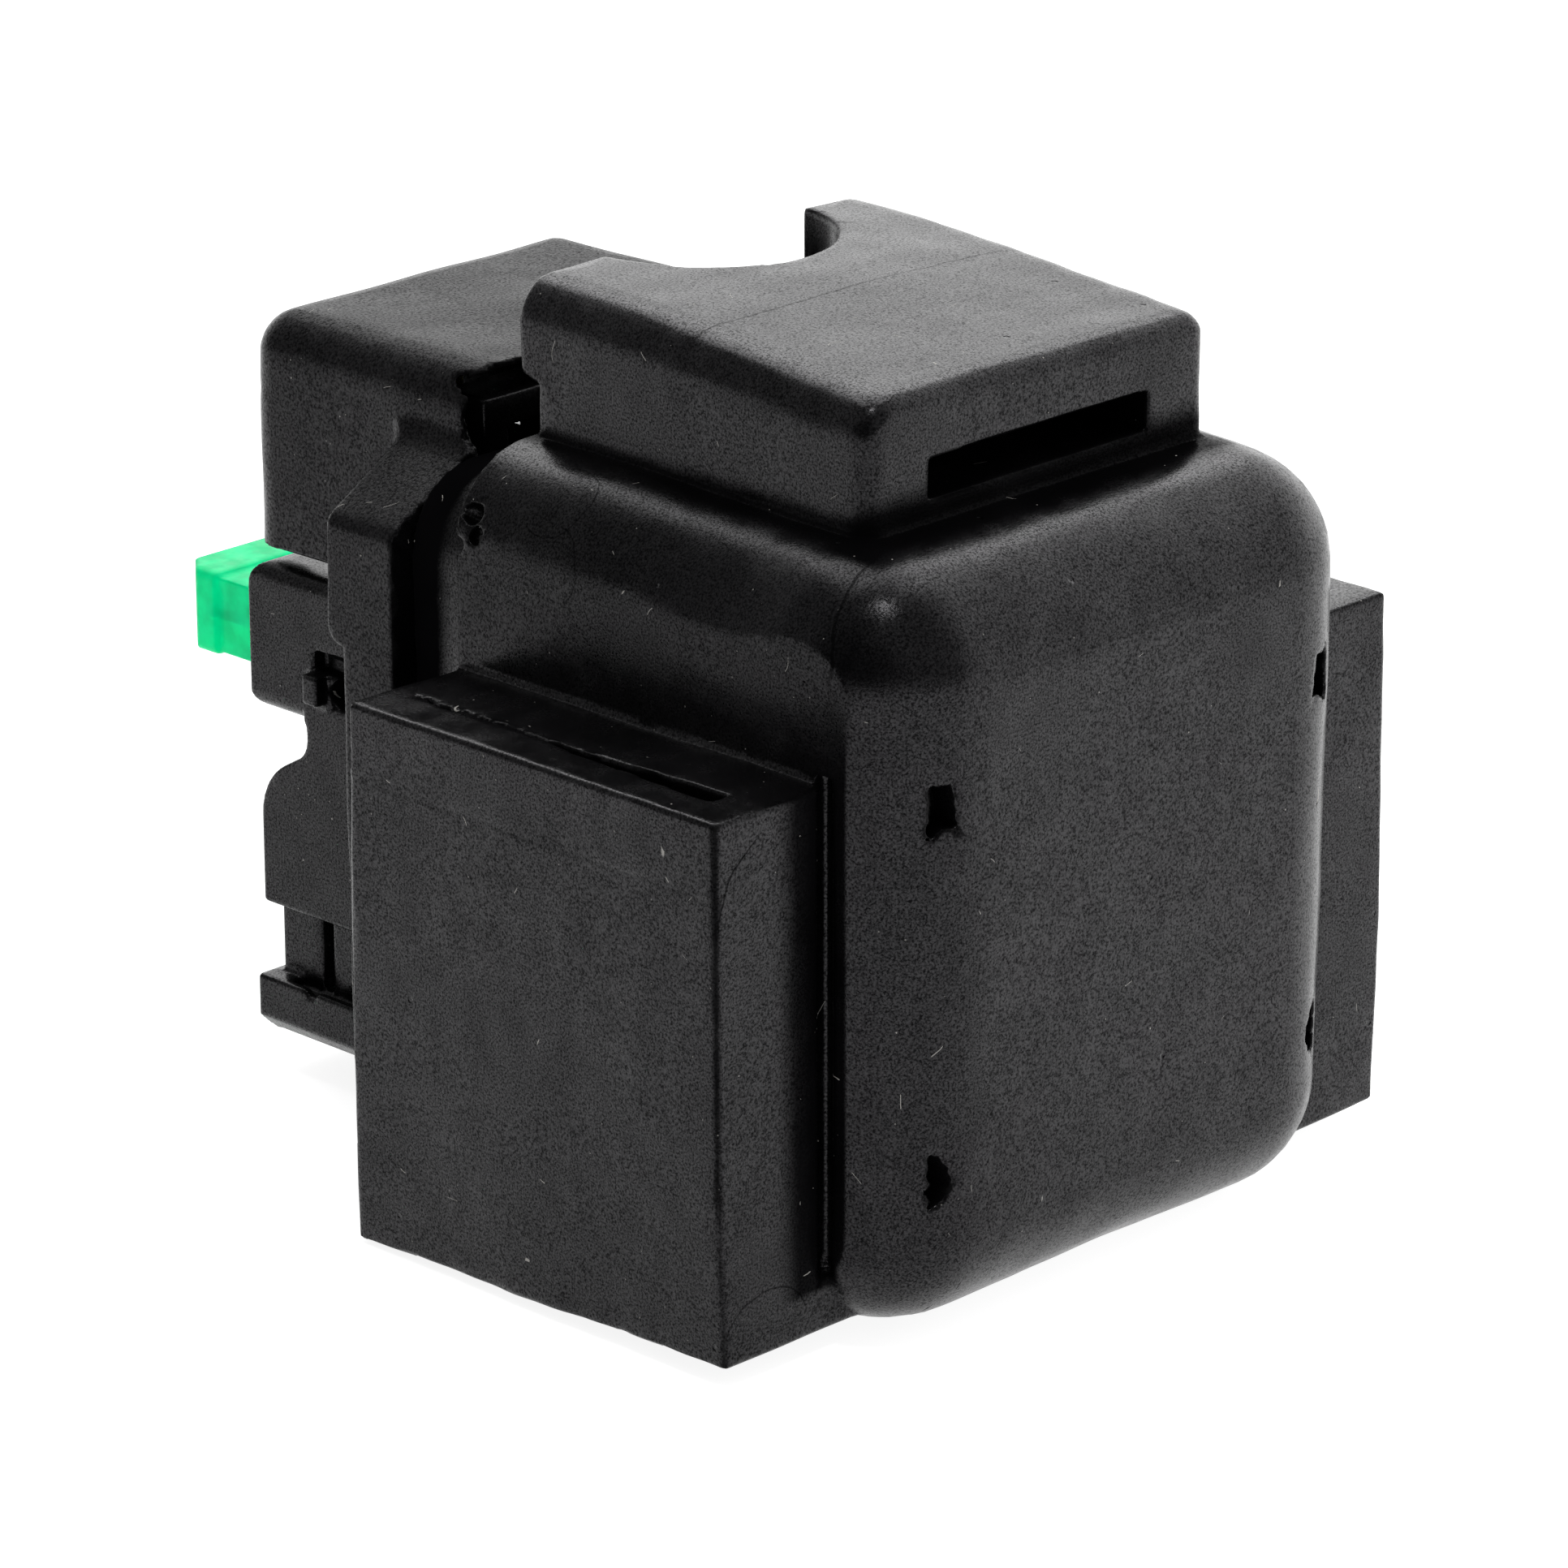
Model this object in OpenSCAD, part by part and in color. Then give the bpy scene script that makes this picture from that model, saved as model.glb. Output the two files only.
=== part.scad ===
// Boxed 12 V starter relay in a rubber mounting boot, with a blade fuse and a plug socket.
// Millimetres, +Z up, +Y towards the boot's closed end. The origin is on the resting plane.

/* [Boot] */
// Width of the boot's body, side to side
boot_w = 37.8; // [36.8:0.2:38.8]
// Height of the boot's body above the resting plane
boot_h = 43.7; // [43.2:0.1:44.2]
// Distance of the boot's closed end behind the origin
boot_back = 33.5; // [33.4:0.1:35]
// Rubber wall thickness
boot_wall = 1.8; // [1.6:0.1:2]
// Radius of the boot's rounded corners
boot_r = 6.5; // [5.5:0.5:7]

/* [Mounting pockets] */
// How far each side pocket stands out from the boot
pocket_out = 7.5; // [6.5:0.5:9]
// Length of each side pocket along the boot
pocket_len = 28.1; // [27:0.1:29]
// Top of the side pockets above the resting plane
pocket_top = 31.8; // [28:0.1:34]
// Thickness of the steel tab that the side pockets take
tab_t = 2; // [1.5:0.1:2.5]
// Width of the steel tab that the side pockets take
tab_w = 20; // [16:0.5:22]
// Width of the top pocket's block
top_block_w = 27.2; // [24:0.2:28]
// Height of the top pocket's block at its front edge
top_block_h = 52.4; // [51:0.1:54]
// Droop of the top block from its front edge to its back edge
top_droop = 1.5; // [0:0.1:2]
// Width of the slot in the top pocket
top_slot_w = 17; // [15:0.5:18]

/* [Front] */
// Width of the terminal cover's skirt
skirt_w = 37.8; // [36.8:0.2:38.8]
// Width of the fuse holder, the plug socket and the terminal cover's hood
front_w = 25.2; // [25:0.1:25.6]
// Front face of the plug socket and fuse holder, ahead of the origin
front_reach = 23.9; // [23.6:0.1:24.4]
// Height of the terminal cover's top
hood_top = 45.5; // [45.4:0.1:46]

/* [Switch] */
// Travel of the plunger when the coil pulls
plunger_travel = 2; // [1.6:0.1:2.1]
// Open gap between the moving and fixed contacts
contact_gap = 1.5; // [1.2:0.1:1.5]
// Radius of the M5 terminal studs
stud_r = 2.5; // [2.4:0.05:2.5]
// Distance between the two studs
stud_pitch = 12.4; // [12.2:0.1:12.5]

/* [Hidden] */
$fn = 48;
eps = 0.01;

// Boot and case, from the outside in
boot_hw = boot_w / 2;
rim_y = 0.6;
case_gap = 0.1;
case_hw = boot_hw - boot_wall - case_gap;
case_z0 = boot_wall + case_gap;
case_z1 = boot_h - boot_wall - case_gap;
case_y0 = 2.2;
case_y1 = boot_back - boot_wall - case_gap;
case_wall = 1.6;
case_r = boot_r - boot_wall;
pocket_y0 = 0;
pocket_z0 = 0.6;
pocket_x = boot_hw + pocket_out;
tab_x = boot_hw + 4.7;
tab_y = 14.15;
slot_h = 2.2;
slot_z = 44.4;
slot_x = -0.3;
block_y0 = 0.6;
block_y1 = 25.6;
block_lip = 0.7;
block_lip_z = 46.8;
notch_r = 7.4;
vent_x = 15;
vent_r = 1.25;
vent_z = [9.8, 30.7];

// Terminal cover's skirt, then the front housing behind and inside it
skirt_y0 = -10.2;
skirt_y1 = -5.1;
skirt_low_y = -8.9;
skirt_step_z = 30.6;
skirt_z0 = 2.2;
skirt_z1 = 41.6;
skirt_hw = skirt_w / 2;
skirt_cut_x = 6.3;
skirt_cut_z = 3.5;
front_hw = front_w / 2;
neck_hw = case_hw;
neck_y0 = skirt_y1 + 0.05;
bulkhead_hw = 11.1;
bulkhead_y0 = skirt_low_y;
neck_z0 = 3;
neck_z1 = 38.4;
neck_y1 = 1.4;
collar_y0 = -4.4;
collar_hw = 18.2;
collar_z0 = 1.2;
collar_z1 = 41.4;
collar_r = 4.8;
plate_y0 = rim_y + 0.1;
chamber_y0 = -3;
chamber_hw = 13.6;
chamber_z0 = 5.2;
chamber_z1 = 36;
window_hw = 9.2;
window_z1 = 42.1;
tongue_y1 = -5.4;
tongue_t = 1.9;
holder_z0 = 22.2;
holder_z1 = 31.1;
socket_y1 = -12;
socket_hw = 9.8;
socket_z0 = 4.2;
socket_z1 = 17.2;
rail_z = 5.7;
eave_z = 10.4;
fuse_z = 25.4;
stud_y = -16;
stud_x = stud_pitch / 2;
shank_r = stud_r - 0.26;
hood_wall = 1.3;
hood_z0 = 32.15;
hood_y0 = 0.8 - front_reach;
hood_y1 = -5.6;
hood_r = 1.8;
cover_gap = 0.15;
port_hw = 4;
port_z1 = 39.6;

// Terminals: copper bars lie on the deck, pass the bulkhead and drop into the contact chamber
bar_t = 1.2;
bar_w = 7;
bar_z = holder_z1;
washer_r = 4.5;
washer_t = 1;
spring_washer_t = 1.2;
nut_af = 8;
nut_h = 4;
washer_z = bar_z + bar_t;
spring_washer_z = washer_z + washer_t;
nut_z = spring_washer_z + spring_washer_t;
free_z = nut_z + nut_h + 0.05;
stud_top = 42.8;

// Solenoid, on one axis along Y
axis_z = 21.85;
fixed_face_y = chamber_y0 + bar_t + 0.6;
bridge_y0 = fixed_face_y + contact_gap;
bridge_y = bridge_y0 + 0.6;
bridge_t = 1.2;
contact_r = 2.5;
pole_y = 7.5;
pole_t = 2;
coil_y0 = pole_y + pole_t;
coil_y1 = 27;
yoke_t = 1.8;
yoke_hw = case_hw - case_wall - yoke_t - 0.2;
yoke_r = 2.2;
yoke_hh = 9.85;
bobbin_t = 1.2;
bobbin_r = yoke_hw - 0.2;
winding_r = bobbin_r - 1.2;
core_y1 = 17;
plunger_y0 = core_y1 + plunger_travel + 0.2;
plunger_y1 = plunger_y0 + 10.2;
core_r = 5;
plunger_r = core_r - 0.03;
sleeve_r = core_r + 0.55;
tube_r = core_r + 0.6;
rod_r = 2;
rod_bore_r = 2.08;
shoulder_y = 5.9;
spring_seat = 4;
spring_r = 3.2;
wire_r = 0.3;

// Plug socket's pins
coil_pin_x = [-7.5, -2.5];
power_pin_x = [2.5, 7.5];
pin_w = 2.8;
pin_y0 = -19.5;
pin_z0 = 10.1;
pin_z1 = 10.9;
lead_z = 7.4;

// Fuse
fuse_hw = 9.55;
fuse_head_ht = 2.52;
fuse_front = -boot_back;
fuse_head_t = 3.2;
fuse_body_hw = 9.3;
fuse_body_ht = 2.3;
fuse_y1 = -21.3;
blade_x = 6.3;
blade_w = 5.2;
blade_t = 0.66;
blade_y1 = -14.3;
clip_gap = 0.03;
clip_t = 0.4;
strap_x0 = 10;
strap_x1 = 11.8;

// Points of an arc, from angle a0 to a1
function arc(cx, cy, r, a0, a1, n = 6) =
  [for (i = [0:n]) [cx + r * cos(a0 + (a1 - a0) * i / n), cy + r * sin(a0 + (a1 - a0) * i / n)]];

// Rounded rectangle, with one radius at its low corners and one at its high corners
function round_rect(x0, x1, y0, y1, r_low, r_high) = concat(
  arc(x1 - r_high, y1 - r_high, r_high, 0, 90),
  arc(x0 + r_high, y1 - r_high, r_high, 90, 180),
  arc(x0 + r_low, y0 + r_low, r_low, 180, 270),
  arc(x1 - r_low, y0 + r_low, r_low, 270, 360)
);

module along_x(x0, x1) { translate([x0, 0, 0]) rotate([90, 0, 90]) linear_extrude(x1 - x0) children(); }
module along_y(y0, y1) { translate([0, y1, 0]) rotate([90, 0, 0]) linear_extrude(y1 - y0) children(); }
module along_z(z0, z1) { translate([0, 0, z0]) linear_extrude(z1 - z0) children(); }
module box(lo, hi) { translate(lo) cube(hi - lo); }
module both_sides() {
  children();
  mirror([1, 0, 0]) children();
}

// Round bar or ring on the solenoid's axis
module axle(y0, y1, r) { translate([0, y1, axis_z]) rotate([90, 0, 0]) cylinder(h = y1 - y0, r = r); }

// Box open at its front, rounded on its long edges and round its closed end
module closed_end_box(hw, z0, z1, y0, y1, r) {
  intersection() {
    along_y(y0, y1) polygon(round_rect(-hw, hw, z0, z1, r, r));
    along_z(z0 - 1, z1 + 1) polygon(concat([[hw, y0 - 1]], arc(hw - r, y1 - r, r, 0, 90),
                                           arc(r - hw, y1 - r, r, 90, 180), [[-hw, y0 - 1]]));
    along_x(-hw - 1, hw + 1) polygon(concat([[y0 - 1, z0]], arc(y1 - r, z0 + r, r, -90, 0),
                                            arc(y1 - r, z1 - r, r, 0, 90), [[y0 - 1, z1]]));
  }
}

// Block of the side pocket on +X
module side_block() {
  box([boot_hw - boot_r, rim_y, pocket_z0], [pocket_x, pocket_y0 + pocket_len, pocket_top]);
  box([boot_hw, pocket_y0, pocket_z0], [pocket_x, rim_y + eps, pocket_top]);
}

// The side pocket's hollow: a tab's cavity open below, and a thin slit in the top that widens backwards
module side_hollow() {
  translate([tab_x, tab_y, 0]) {
    box([-tab_t / 2, -tab_w / 2, pocket_z0 - 1], [tab_t / 2, tab_w / 2, pocket_top - 2.5]);
    along_z(pocket_top - 3, pocket_top + 1) polygon([[-0.15, -12], [0.15, -12], [0.7, 12], [-0.7, 12]]);
  }
}

// Block of the top pocket: its top droops towards the back, has a lip in front and rounded long edges
module top_block() {
  hw = top_block_w / 2;
  intersection() {
    along_y(block_y0 - block_lip, block_y1) polygon(round_rect(-hw, hw, boot_h - 3, top_block_h, 0.01, 2.4));
    along_x(-hw - 1, hw + 1) polygon(concat(
      [[block_y0, boot_h - 3], [block_y1, boot_h - 3]],
      arc(block_y1 - 1.5, top_block_h - top_droop - 1.5, 1.5, 0, 90),
      [
        [(block_y0 + block_y1) / 2, top_block_h - 0.3 * top_droop], [block_y0 - block_lip, top_block_h],
        [block_y0 - block_lip, block_lip_z], [block_y0, block_lip_z]
      ]
    ));
  }
}

module rubber_boot() {
  color("#28272a")
  difference() {
    union() {
      closed_end_box(boot_hw, 0, boot_h, rim_y, boot_back, boot_r);
      along_y(collar_y0, rim_y + eps)
        polygon(round_rect(-collar_hw, collar_hw, collar_z0, collar_z1, collar_r, collar_r));
      both_sides() side_block();
      top_block();
    }
    closed_end_box(boot_hw - boot_wall, boot_wall, boot_h - boot_wall,
                   rim_y, boot_back - boot_wall, case_r);
    // hole in the collar for the housing's neck
    along_y(collar_y0 - 1, rim_y + eps) polygon(round_rect(-neck_hw - case_gap, neck_hw + case_gap,
                                                     neck_z0 - case_gap, neck_z1 + case_gap, 2, 2));
    both_sides() side_hollow();
    box([slot_x - top_slot_w / 2, block_y0 + 3, slot_z],
        [slot_x + top_slot_w / 2, block_y1 + 1, slot_z + slot_h]);
    translate([-0.9, -1.1, slot_z]) cylinder(h = 20, r = notch_r);
    both_sides() for (z = vent_z) vent(z);
  }
}

// Moulding vent through the closed end, beside its upright corner
module vent(z) {
  translate([vent_x, boot_back - 5, z]) rotate([-90, 0, 0]) cylinder(h = 8, r = vent_r);
}

// The case's outline seen from the front, drawn in by some distance
module case_outline(inset) {
  hw = case_hw - inset;
  r = case_r - case_gap - inset;
  polygon(round_rect(-hw, hw, case_z0 + inset, case_z1 - inset, r, r));
}

module relay_case() {
  color("#1d1d1f")
  difference() {
    closed_end_box(case_hw, case_z0, case_z1, case_y0, case_y1, case_r - case_gap);
    closed_end_box(case_hw - case_wall, case_z0 + case_wall, case_z1 - case_wall,
                   case_y0 - 1, case_y1 - case_wall, case_r - case_wall);
  }
}

module case_gasket() {
  color("#3c3a38")
  along_y(neck_y1, case_y0) difference() {
    case_outline(0);
    case_outline(case_wall);
  }
}

// Skirt outline: a rectangle with its four corners cut off
module skirt_outline() {
  hw = skirt_hw;
  z0 = skirt_z0;
  z1 = skirt_z1;
  polygon([
    [hw, z0 + skirt_cut_z], [hw, z1 - skirt_cut_z], [hw - skirt_cut_x, z1], [skirt_cut_x - hw, z1],
    [-hw, z1 - skirt_cut_z], [-hw, z0 + skirt_cut_z], [skirt_cut_x - hw, z0], [hw - skirt_cut_x, z0]
  ]);
}

// Side view of the plug socket: an S-shaped roof from the holder's neck down to the socket's front edge
module socket_side() {
  f = -front_reach;
  polygon(concat(
    [[neck_y0 + eps, 2.1], [f + 0.4, 2.1], [f, 2.6], [f, rail_z], [f + 0.7, rail_z], [f + 0.7, eave_z + 0.1]],
    arc(f + 4.7, 15.7, 4, 180, 120, 8),
    arc(f + 3.2, 21.18, 1.5, -60, 0, 6),
    [[f + 4.7, 22.5], [neck_y0 + eps, 22.5]]
  ));
}

// Recess in the plug socket's +X side, between its roof's eave and its bottom rail, with a slit and a gutter
module socket_side_recess() {
  x0 = front_hw - 1.4;
  x1 = front_hw + 1;
  box([x0, -front_reach - 1, rail_z], [x1, -13.5, eave_z]);
  box([front_hw - 4, -19.7, rail_z - 0.3], [x1, -18.9, eave_z]);
  box([x0, -21.5, rail_z - 0.6], [x1 - 1.6, -14.5, rail_z + 0.1]);
}

// Small catch on the fuse holder's +X side
module side_catch() {
  box([front_hw - 1, -18.5, 23.8], [front_hw + 0.9, -17.2, 25.6]);
}

// Recess above and behind the catch, with a round hole
module catch_recess() {
  box([front_hw - 0.9, -18.3, 25.6], [front_hw + 1, -11, 26.8]);
  translate([front_hw - 1.8, -16.1, 24.6]) rotate([0, 90, 0]) cylinder(h = 3, r = 0.9);
}

module front_housing() {
  f = -front_reach;
  color("#232326")
  difference() {
    union() {
      along_y(neck_y0, plate_y0 + eps) polygon(round_rect(-neck_hw, neck_hw, neck_z0, neck_z1, 2, 2));
      along_y(plate_y0, neck_y1) case_outline(0);
      along_x(-front_hw, front_hw) socket_side();
      along_x(-front_hw, front_hw) polygon(concat(
        [[neck_y0 + eps, holder_z0]],
        arc(f + 1.1, holder_z0 + 1.1, 1.1, 270, 180, 5),
        arc(f + 1.6, holder_z1 - 1.6, 1.6, 180, 90, 5),
        [[neck_y0 + eps, holder_z1]]
      ));
      both_sides() side_catch();
      // wall between the studs, and the bulkhead behind them, inside the hood
      box([-0.9, -20.5, holder_z1 - eps], [0.9, bulkhead_y0 + eps, 38]);
      box([-bulkhead_hw, bulkhead_y0, holder_z1 - eps], [bulkhead_hw, neck_y0 + eps, neck_z1]);
      box([-bulkhead_hw, bulkhead_y0, neck_z1 - eps], [bulkhead_hw, tongue_y1, window_z1 + tongue_t]);
    }
    // window through the bulkhead
    box([-window_hw, bulkhead_y0 - 1, neck_z1 + 0.2], [window_hw, neck_y0 + 1, window_z1]);
    // contact chamber, open towards the case
    box([-chamber_hw, chamber_y0, chamber_z0], [chamber_hw, neck_y1 + 1, chamber_z1]);
    // ways through the bulkhead for the copper bars, and seats for the studs' heads
    both_sides() {
      box([stud_x - 3.6, bulkhead_y0 - 1, bar_z], [stud_x + 3.6, chamber_y0 + 1, bar_z + bar_t + 0.1]);
      box([stud_x - 2.5, stud_y - 2.5, bar_z - 2.2], [stud_x + 2.5, stud_y + 2.5, bar_z + eps]);
    }
    // fuse well, its blade wells and the ways for the clips' tails
    box([-9.5, f - 1, fuse_z - 2.6], [9.5, fuse_y1 + 0.1, fuse_z + 2.6]);
    both_sides() box([blade_x - 3.1, fuse_y1, fuse_z - 1.4], [blade_x + 3.1, -12.9, fuse_z + 1.4]);
    box([blade_x - 3, -13, fuse_z - 0.25], [blade_x + 3, chamber_y0 + 1, fuse_z + 0.25]);
    box([-strap_x1 - 0.1, -13.8, fuse_z - 1], [-9, -12.9, fuse_z + 1]);
    box([-strap_x1 - 0.1, -13, fuse_z - 0.25], [0.1 - strap_x0, chamber_y0 + 1, fuse_z + 0.25]);
    // plug socket
    box([-socket_hw, f - 1, socket_z0], [socket_hw, socket_y1, socket_z1]);
    box([-3, f - 1, socket_z1 - 0.1], [3, -17, socket_z1 + 1.2]);
    for (x = concat(coil_pin_x, power_pin_x))
      box([x - pin_w / 2, socket_y1 - 1, pin_z0], [x + pin_w / 2, chamber_y0 + 1, pin_z1]);
    both_sides() {
      socket_side_recess();
      catch_recess();
    }
  }
}

// Hood over the studs: open below and at the back
module hood() {
  hw = front_hw;
  r = hood_r;
  intersection() {
    along_y(hood_y0, hood_y1) polygon(round_rect(-hw, hw, hood_z0, hood_top, 0.2, r));
    along_x(-hw - 1, hw + 1) polygon(concat([[hood_y1, hood_z0], [hood_y1, hood_top]],
      arc(hood_y0 + r, hood_top - r, r, 90, 180), [[hood_y0, hood_z0]]));
    along_z(hood_z0 - 1, hood_top + 1) polygon(concat([[hw, hood_y1]], [[-hw, hood_y1]],
      arc(r - hw, hood_y0 + r, r, 180, 270), arc(hw - r, hood_y0 + r, r, 270, 360)));
  }
}

// Soft cover: the hood and a skirt moulded in one, which slides forwards off the fuse holder and the socket
module terminal_cover() {
  inner_hw = front_hw - hood_wall;
  way_hw = front_hw + cover_gap;
  color("#2c2b2d")
  difference() {
    union() {
      hood();
      difference() {
        along_y(skirt_y0, skirt_y1) skirt_outline();
        box([-30, skirt_y0 - 1, -1], [30, skirt_low_y, skirt_step_z]);
      }
    }
    box([-inner_hw, hood_y0 + hood_wall, holder_z1 - 1], [inner_hw, skirt_y1 + 1, hood_top - hood_wall]);
    // way for the fuse holder and the socket, and a notch for each of the holder's catches
    box([-way_hw, skirt_y0 - 1, -1], [way_hw, skirt_y1 + 1, holder_z1 + cover_gap]);
    both_sides() box([way_hw - eps, skirt_y0 - 1, 22.9], [front_hw + 1.2, skirt_y1 + 1, 28.3]);
    // a cable port for each stud
    both_sides() along_y(hood_y0 - 1, hood_y0 + hood_wall + 1)
      polygon(round_rect(stud_x - port_hw, stud_x + port_hw, hood_z0 - 3, port_z1, 0.5, port_hw - 0.5));
  }
}

// Copper bar from the +X stud back through the bulkhead and down to its contact
module terminal_bar() {
  x0 = stud_x - bar_w / 2;
  x1 = stud_x + bar_w / 2;
  difference() {
    union() {
      box([x0, stud_y - 3.8, bar_z], [x1, chamber_y0 + bar_t, bar_z + bar_t]);
      box([x0, chamber_y0, axis_z - 3.6], [x1, chamber_y0 + bar_t, bar_z + eps]);
      translate([stud_x, fixed_face_y, axis_z]) rotate([90, 0, 0]) cylinder(h = 0.8, r = contact_r);
    }
    translate([stud_x, stud_y, bar_z - 1]) cylinder(h = bar_t + 2, r = stud_r);
  }
}
module battery_bar() { color("#b87333") terminal_bar(); }
module motor_bar() { color("#b87333") mirror([1, 0, 0]) terminal_bar(); }

// M5 stud on +X: a square head under the bar, a shank of the thread's pitch radius and a free end above it
module stud() {
  translate([stud_x, stud_y, 0]) {
    box([-2.5, -2.5, bar_z - 2.1], [2.5, 2.5, bar_z]);
    translate([0, 0, bar_z - 0.5]) cylinder(h = free_z - bar_z + 0.6, r = shank_r);
    translate([0, 0, free_z]) cylinder(h = stud_top - 0.6 - free_z, r = stud_r);
    translate([0, 0, stud_top - 0.6]) cylinder(h = 0.6, r1 = stud_r, r2 = stud_r - 0.5);
  }
}
module battery_stud() { color("#c9b458") stud(); }
module motor_stud() { color("#c9b458") mirror([1, 0, 0]) stud(); }

module stud_ring(z, h, r) {
  translate([stud_x, stud_y, z]) difference() {
    cylinder(h = h, r = r);
    translate([0, 0, -1]) cylinder(h = h + 2, r = stud_r + 0.15);
  }
}
module flat_washers() { color("#b9bcc0") both_sides() stud_ring(washer_z, washer_t, washer_r); }
module spring_washers() {
  color("#a4a7ab") both_sides() difference() {
    stud_ring(spring_washer_z, spring_washer_t, 4.1);
    translate([stud_x, stud_y, spring_washer_z - 1]) rotate([0, 0, 200]) box([2, -0.3, 0], [6, 0.3, 4]);
  }
}
module stud_nuts() {
  color("#c2c5c9") both_sides() translate([stud_x, stud_y, nut_z]) difference() {
    intersection() {
      cylinder(h = nut_h, r = nut_af / 2 / cos(30), $fn = 6);
      cylinder(h = nut_h, r1 = nut_af / 2 + 2.9, r2 = nut_af / 2 + 0.25);
    }
    translate([0, 0, -1]) cylinder(h = nut_h + 2, r = shank_r + 0.05);
  }
}

// Bridge bar with a contact rivet at each end; it slides on the push rod
module moving_contact() {
  color("#b87333")
  difference() {
    union() {
      box([-9.6, bridge_y, axis_z - 3.5], [9.6, bridge_y + bridge_t, axis_z + 3.5]);
      for (s = [1, -1]) translate([s * stud_x, bridge_y + 0.1, axis_z]) rotate([90, 0, 0])
        cylinder(h = 0.7, r = contact_r);
    }
    axle(bridge_y - 2, bridge_y + 4, rod_bore_r);
  }
}

// Close-wound rings stand for the turns of a coil spring
module spring_rings(y0, y1, r, n) {
  step = (y1 - y0 - 2 * wire_r) / (n - 1);
  for (i = [0:n - 1]) translate([0, y0 + wire_r + i * step, axis_z]) rotate([90, 0, 0])
    rotate_extrude() translate([r, 0]) circle(r = wire_r);
}
module contact_spring() { color("#9aa0a6") spring_rings(bridge_y + bridge_t, shoulder_y, 2.7, 4); }
module return_spring() {
  color("#9aa0a6") spring_rings(core_y1 - spring_seat, plunger_y0 + spring_seat, spring_r, 7);
}

module push_rod() {
  color("#d9d6cc")
  difference() {
    union() {
      axle(bridge_y - 1.6, plunger_y0 + spring_seat + 3, rod_r);
      axle(shoulder_y, shoulder_y + 1, 3.2);
    }
    difference() {
      axle(bridge_y - 0.7, bridge_y - 0.05, 4);
      axle(bridge_y - 0.8, bridge_y, 1.5);
    }
  }
}
module rod_clip() {
  color("#8f949a")
  difference() {
    axle(bridge_y - 0.65, bridge_y - 0.1, 3.4);
    axle(bridge_y - 2, bridge_y + 2, 1.55);
    box([-1.4, bridge_y - 2, axis_z - 5], [1.4, bridge_y + 2, axis_z]);
  }
}
module plunger() {
  color("#8d9298")
  difference() {
    axle(plunger_y0, plunger_y1, plunger_r);
    axle(plunger_y0 - 1, plunger_y0 + spring_seat, spring_r + 0.7);
    axle(plunger_y0, plunger_y0 + spring_seat + 3, rod_r);
  }
}
module fixed_core() {
  color("#8d9298")
  difference() {
    axle(pole_y, core_y1, core_r);
    axle(pole_y - 1, core_y1 + 1, rod_bore_r);
    axle(core_y1 - spring_seat, core_y1 + 1, spring_r + 0.7);
  }
}
module pole_plate() {
  color("#7e848a")
  difference() {
    box([-yoke_hw, pole_y, axis_z - yoke_hh], [yoke_hw, pole_y + pole_t, axis_z + yoke_hh]);
    axle(pole_y - 1, pole_y + pole_t + 1, core_r);
  }
}

// Strap bent to a U round the coil, with rounded outer bends
module yoke_frame() {
  hw = yoke_hw + yoke_t;
  y1 = coil_y1 + yoke_t;
  color("#7e848a")
  difference() {
    along_z(axis_z - yoke_hh, axis_z + yoke_hh)
      polygon(concat([[-hw, pole_y], [hw, pole_y]], arc(hw - yoke_r, y1 - yoke_r, yoke_r, 0, 90),
                     arc(yoke_r - hw, y1 - yoke_r, yoke_r, 90, 180)));
    box([-yoke_hw, pole_y - 1, axis_z - yoke_hh - 1], [yoke_hw, coil_y1, axis_z + yoke_hh + 1]);
    axle(coil_y1 - 1, y1 + 1, tube_r);
  }
}
module guide_sleeve() {
  color("#b5a642")
  difference() {
    axle(coil_y0, coil_y1 + yoke_t, sleeve_r);
    axle(pole_y, coil_y1 + yoke_t + 1, core_r + 0.03);
  }
}
module bobbin() {
  color("#e8e2d0")
  difference() {
    union() {
      axle(coil_y0, coil_y1, tube_r + 1);
      axle(coil_y0, coil_y0 + bobbin_t, bobbin_r);
      axle(coil_y1 - bobbin_t, coil_y1, bobbin_r);
      // lug that the two leads run to
      box([-9.5, coil_y0, 6.2], [0, coil_y0 + bobbin_t, 12]);
    }
    axle(pole_y, coil_y1 + 1, tube_r);
  }
}
module winding_ring(r0, r1) {
  difference() {
    axle(coil_y0 + bobbin_t, coil_y1 - bobbin_t, r1);
    axle(pole_y, coil_y1 + 1, r0);
  }
}
module coil_winding() { color("#a8502a") winding_ring(tube_r + 1, winding_r); }
module winding_tape() { color("#d8b63a") winding_ring(winding_r, winding_r + 0.35); }

// Socket pin: a tab in the plug socket whose tail ends in the contact chamber
module socket_pin(x) { box([x - pin_w / 2, pin_y0, pin_z0], [x + pin_w / 2, 0.4, pin_z1]); }
module coil_pin_feed() { color("#d4d0c4") socket_pin(coil_pin_x[0]); }
module coil_pin_return() { color("#d4d0c4") socket_pin(coil_pin_x[1]); }

// Enamelled lead from a pin's tail, under the pole plate, to the bobbin's flange
module coil_lead(x) {
  color("#a8502a") union() {
    box([x - 0.4, -0.4, lead_z], [x + 0.4, 0.4, pin_z0]);
    box([x - 0.4, 0.3, lead_z], [x + 0.4, coil_y0, lead_z + 0.8]);
  }
}
module coil_lead_feed() { coil_lead(coil_pin_x[0]); }
module coil_lead_return() { coil_lead(coil_pin_x[1]); }

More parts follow.
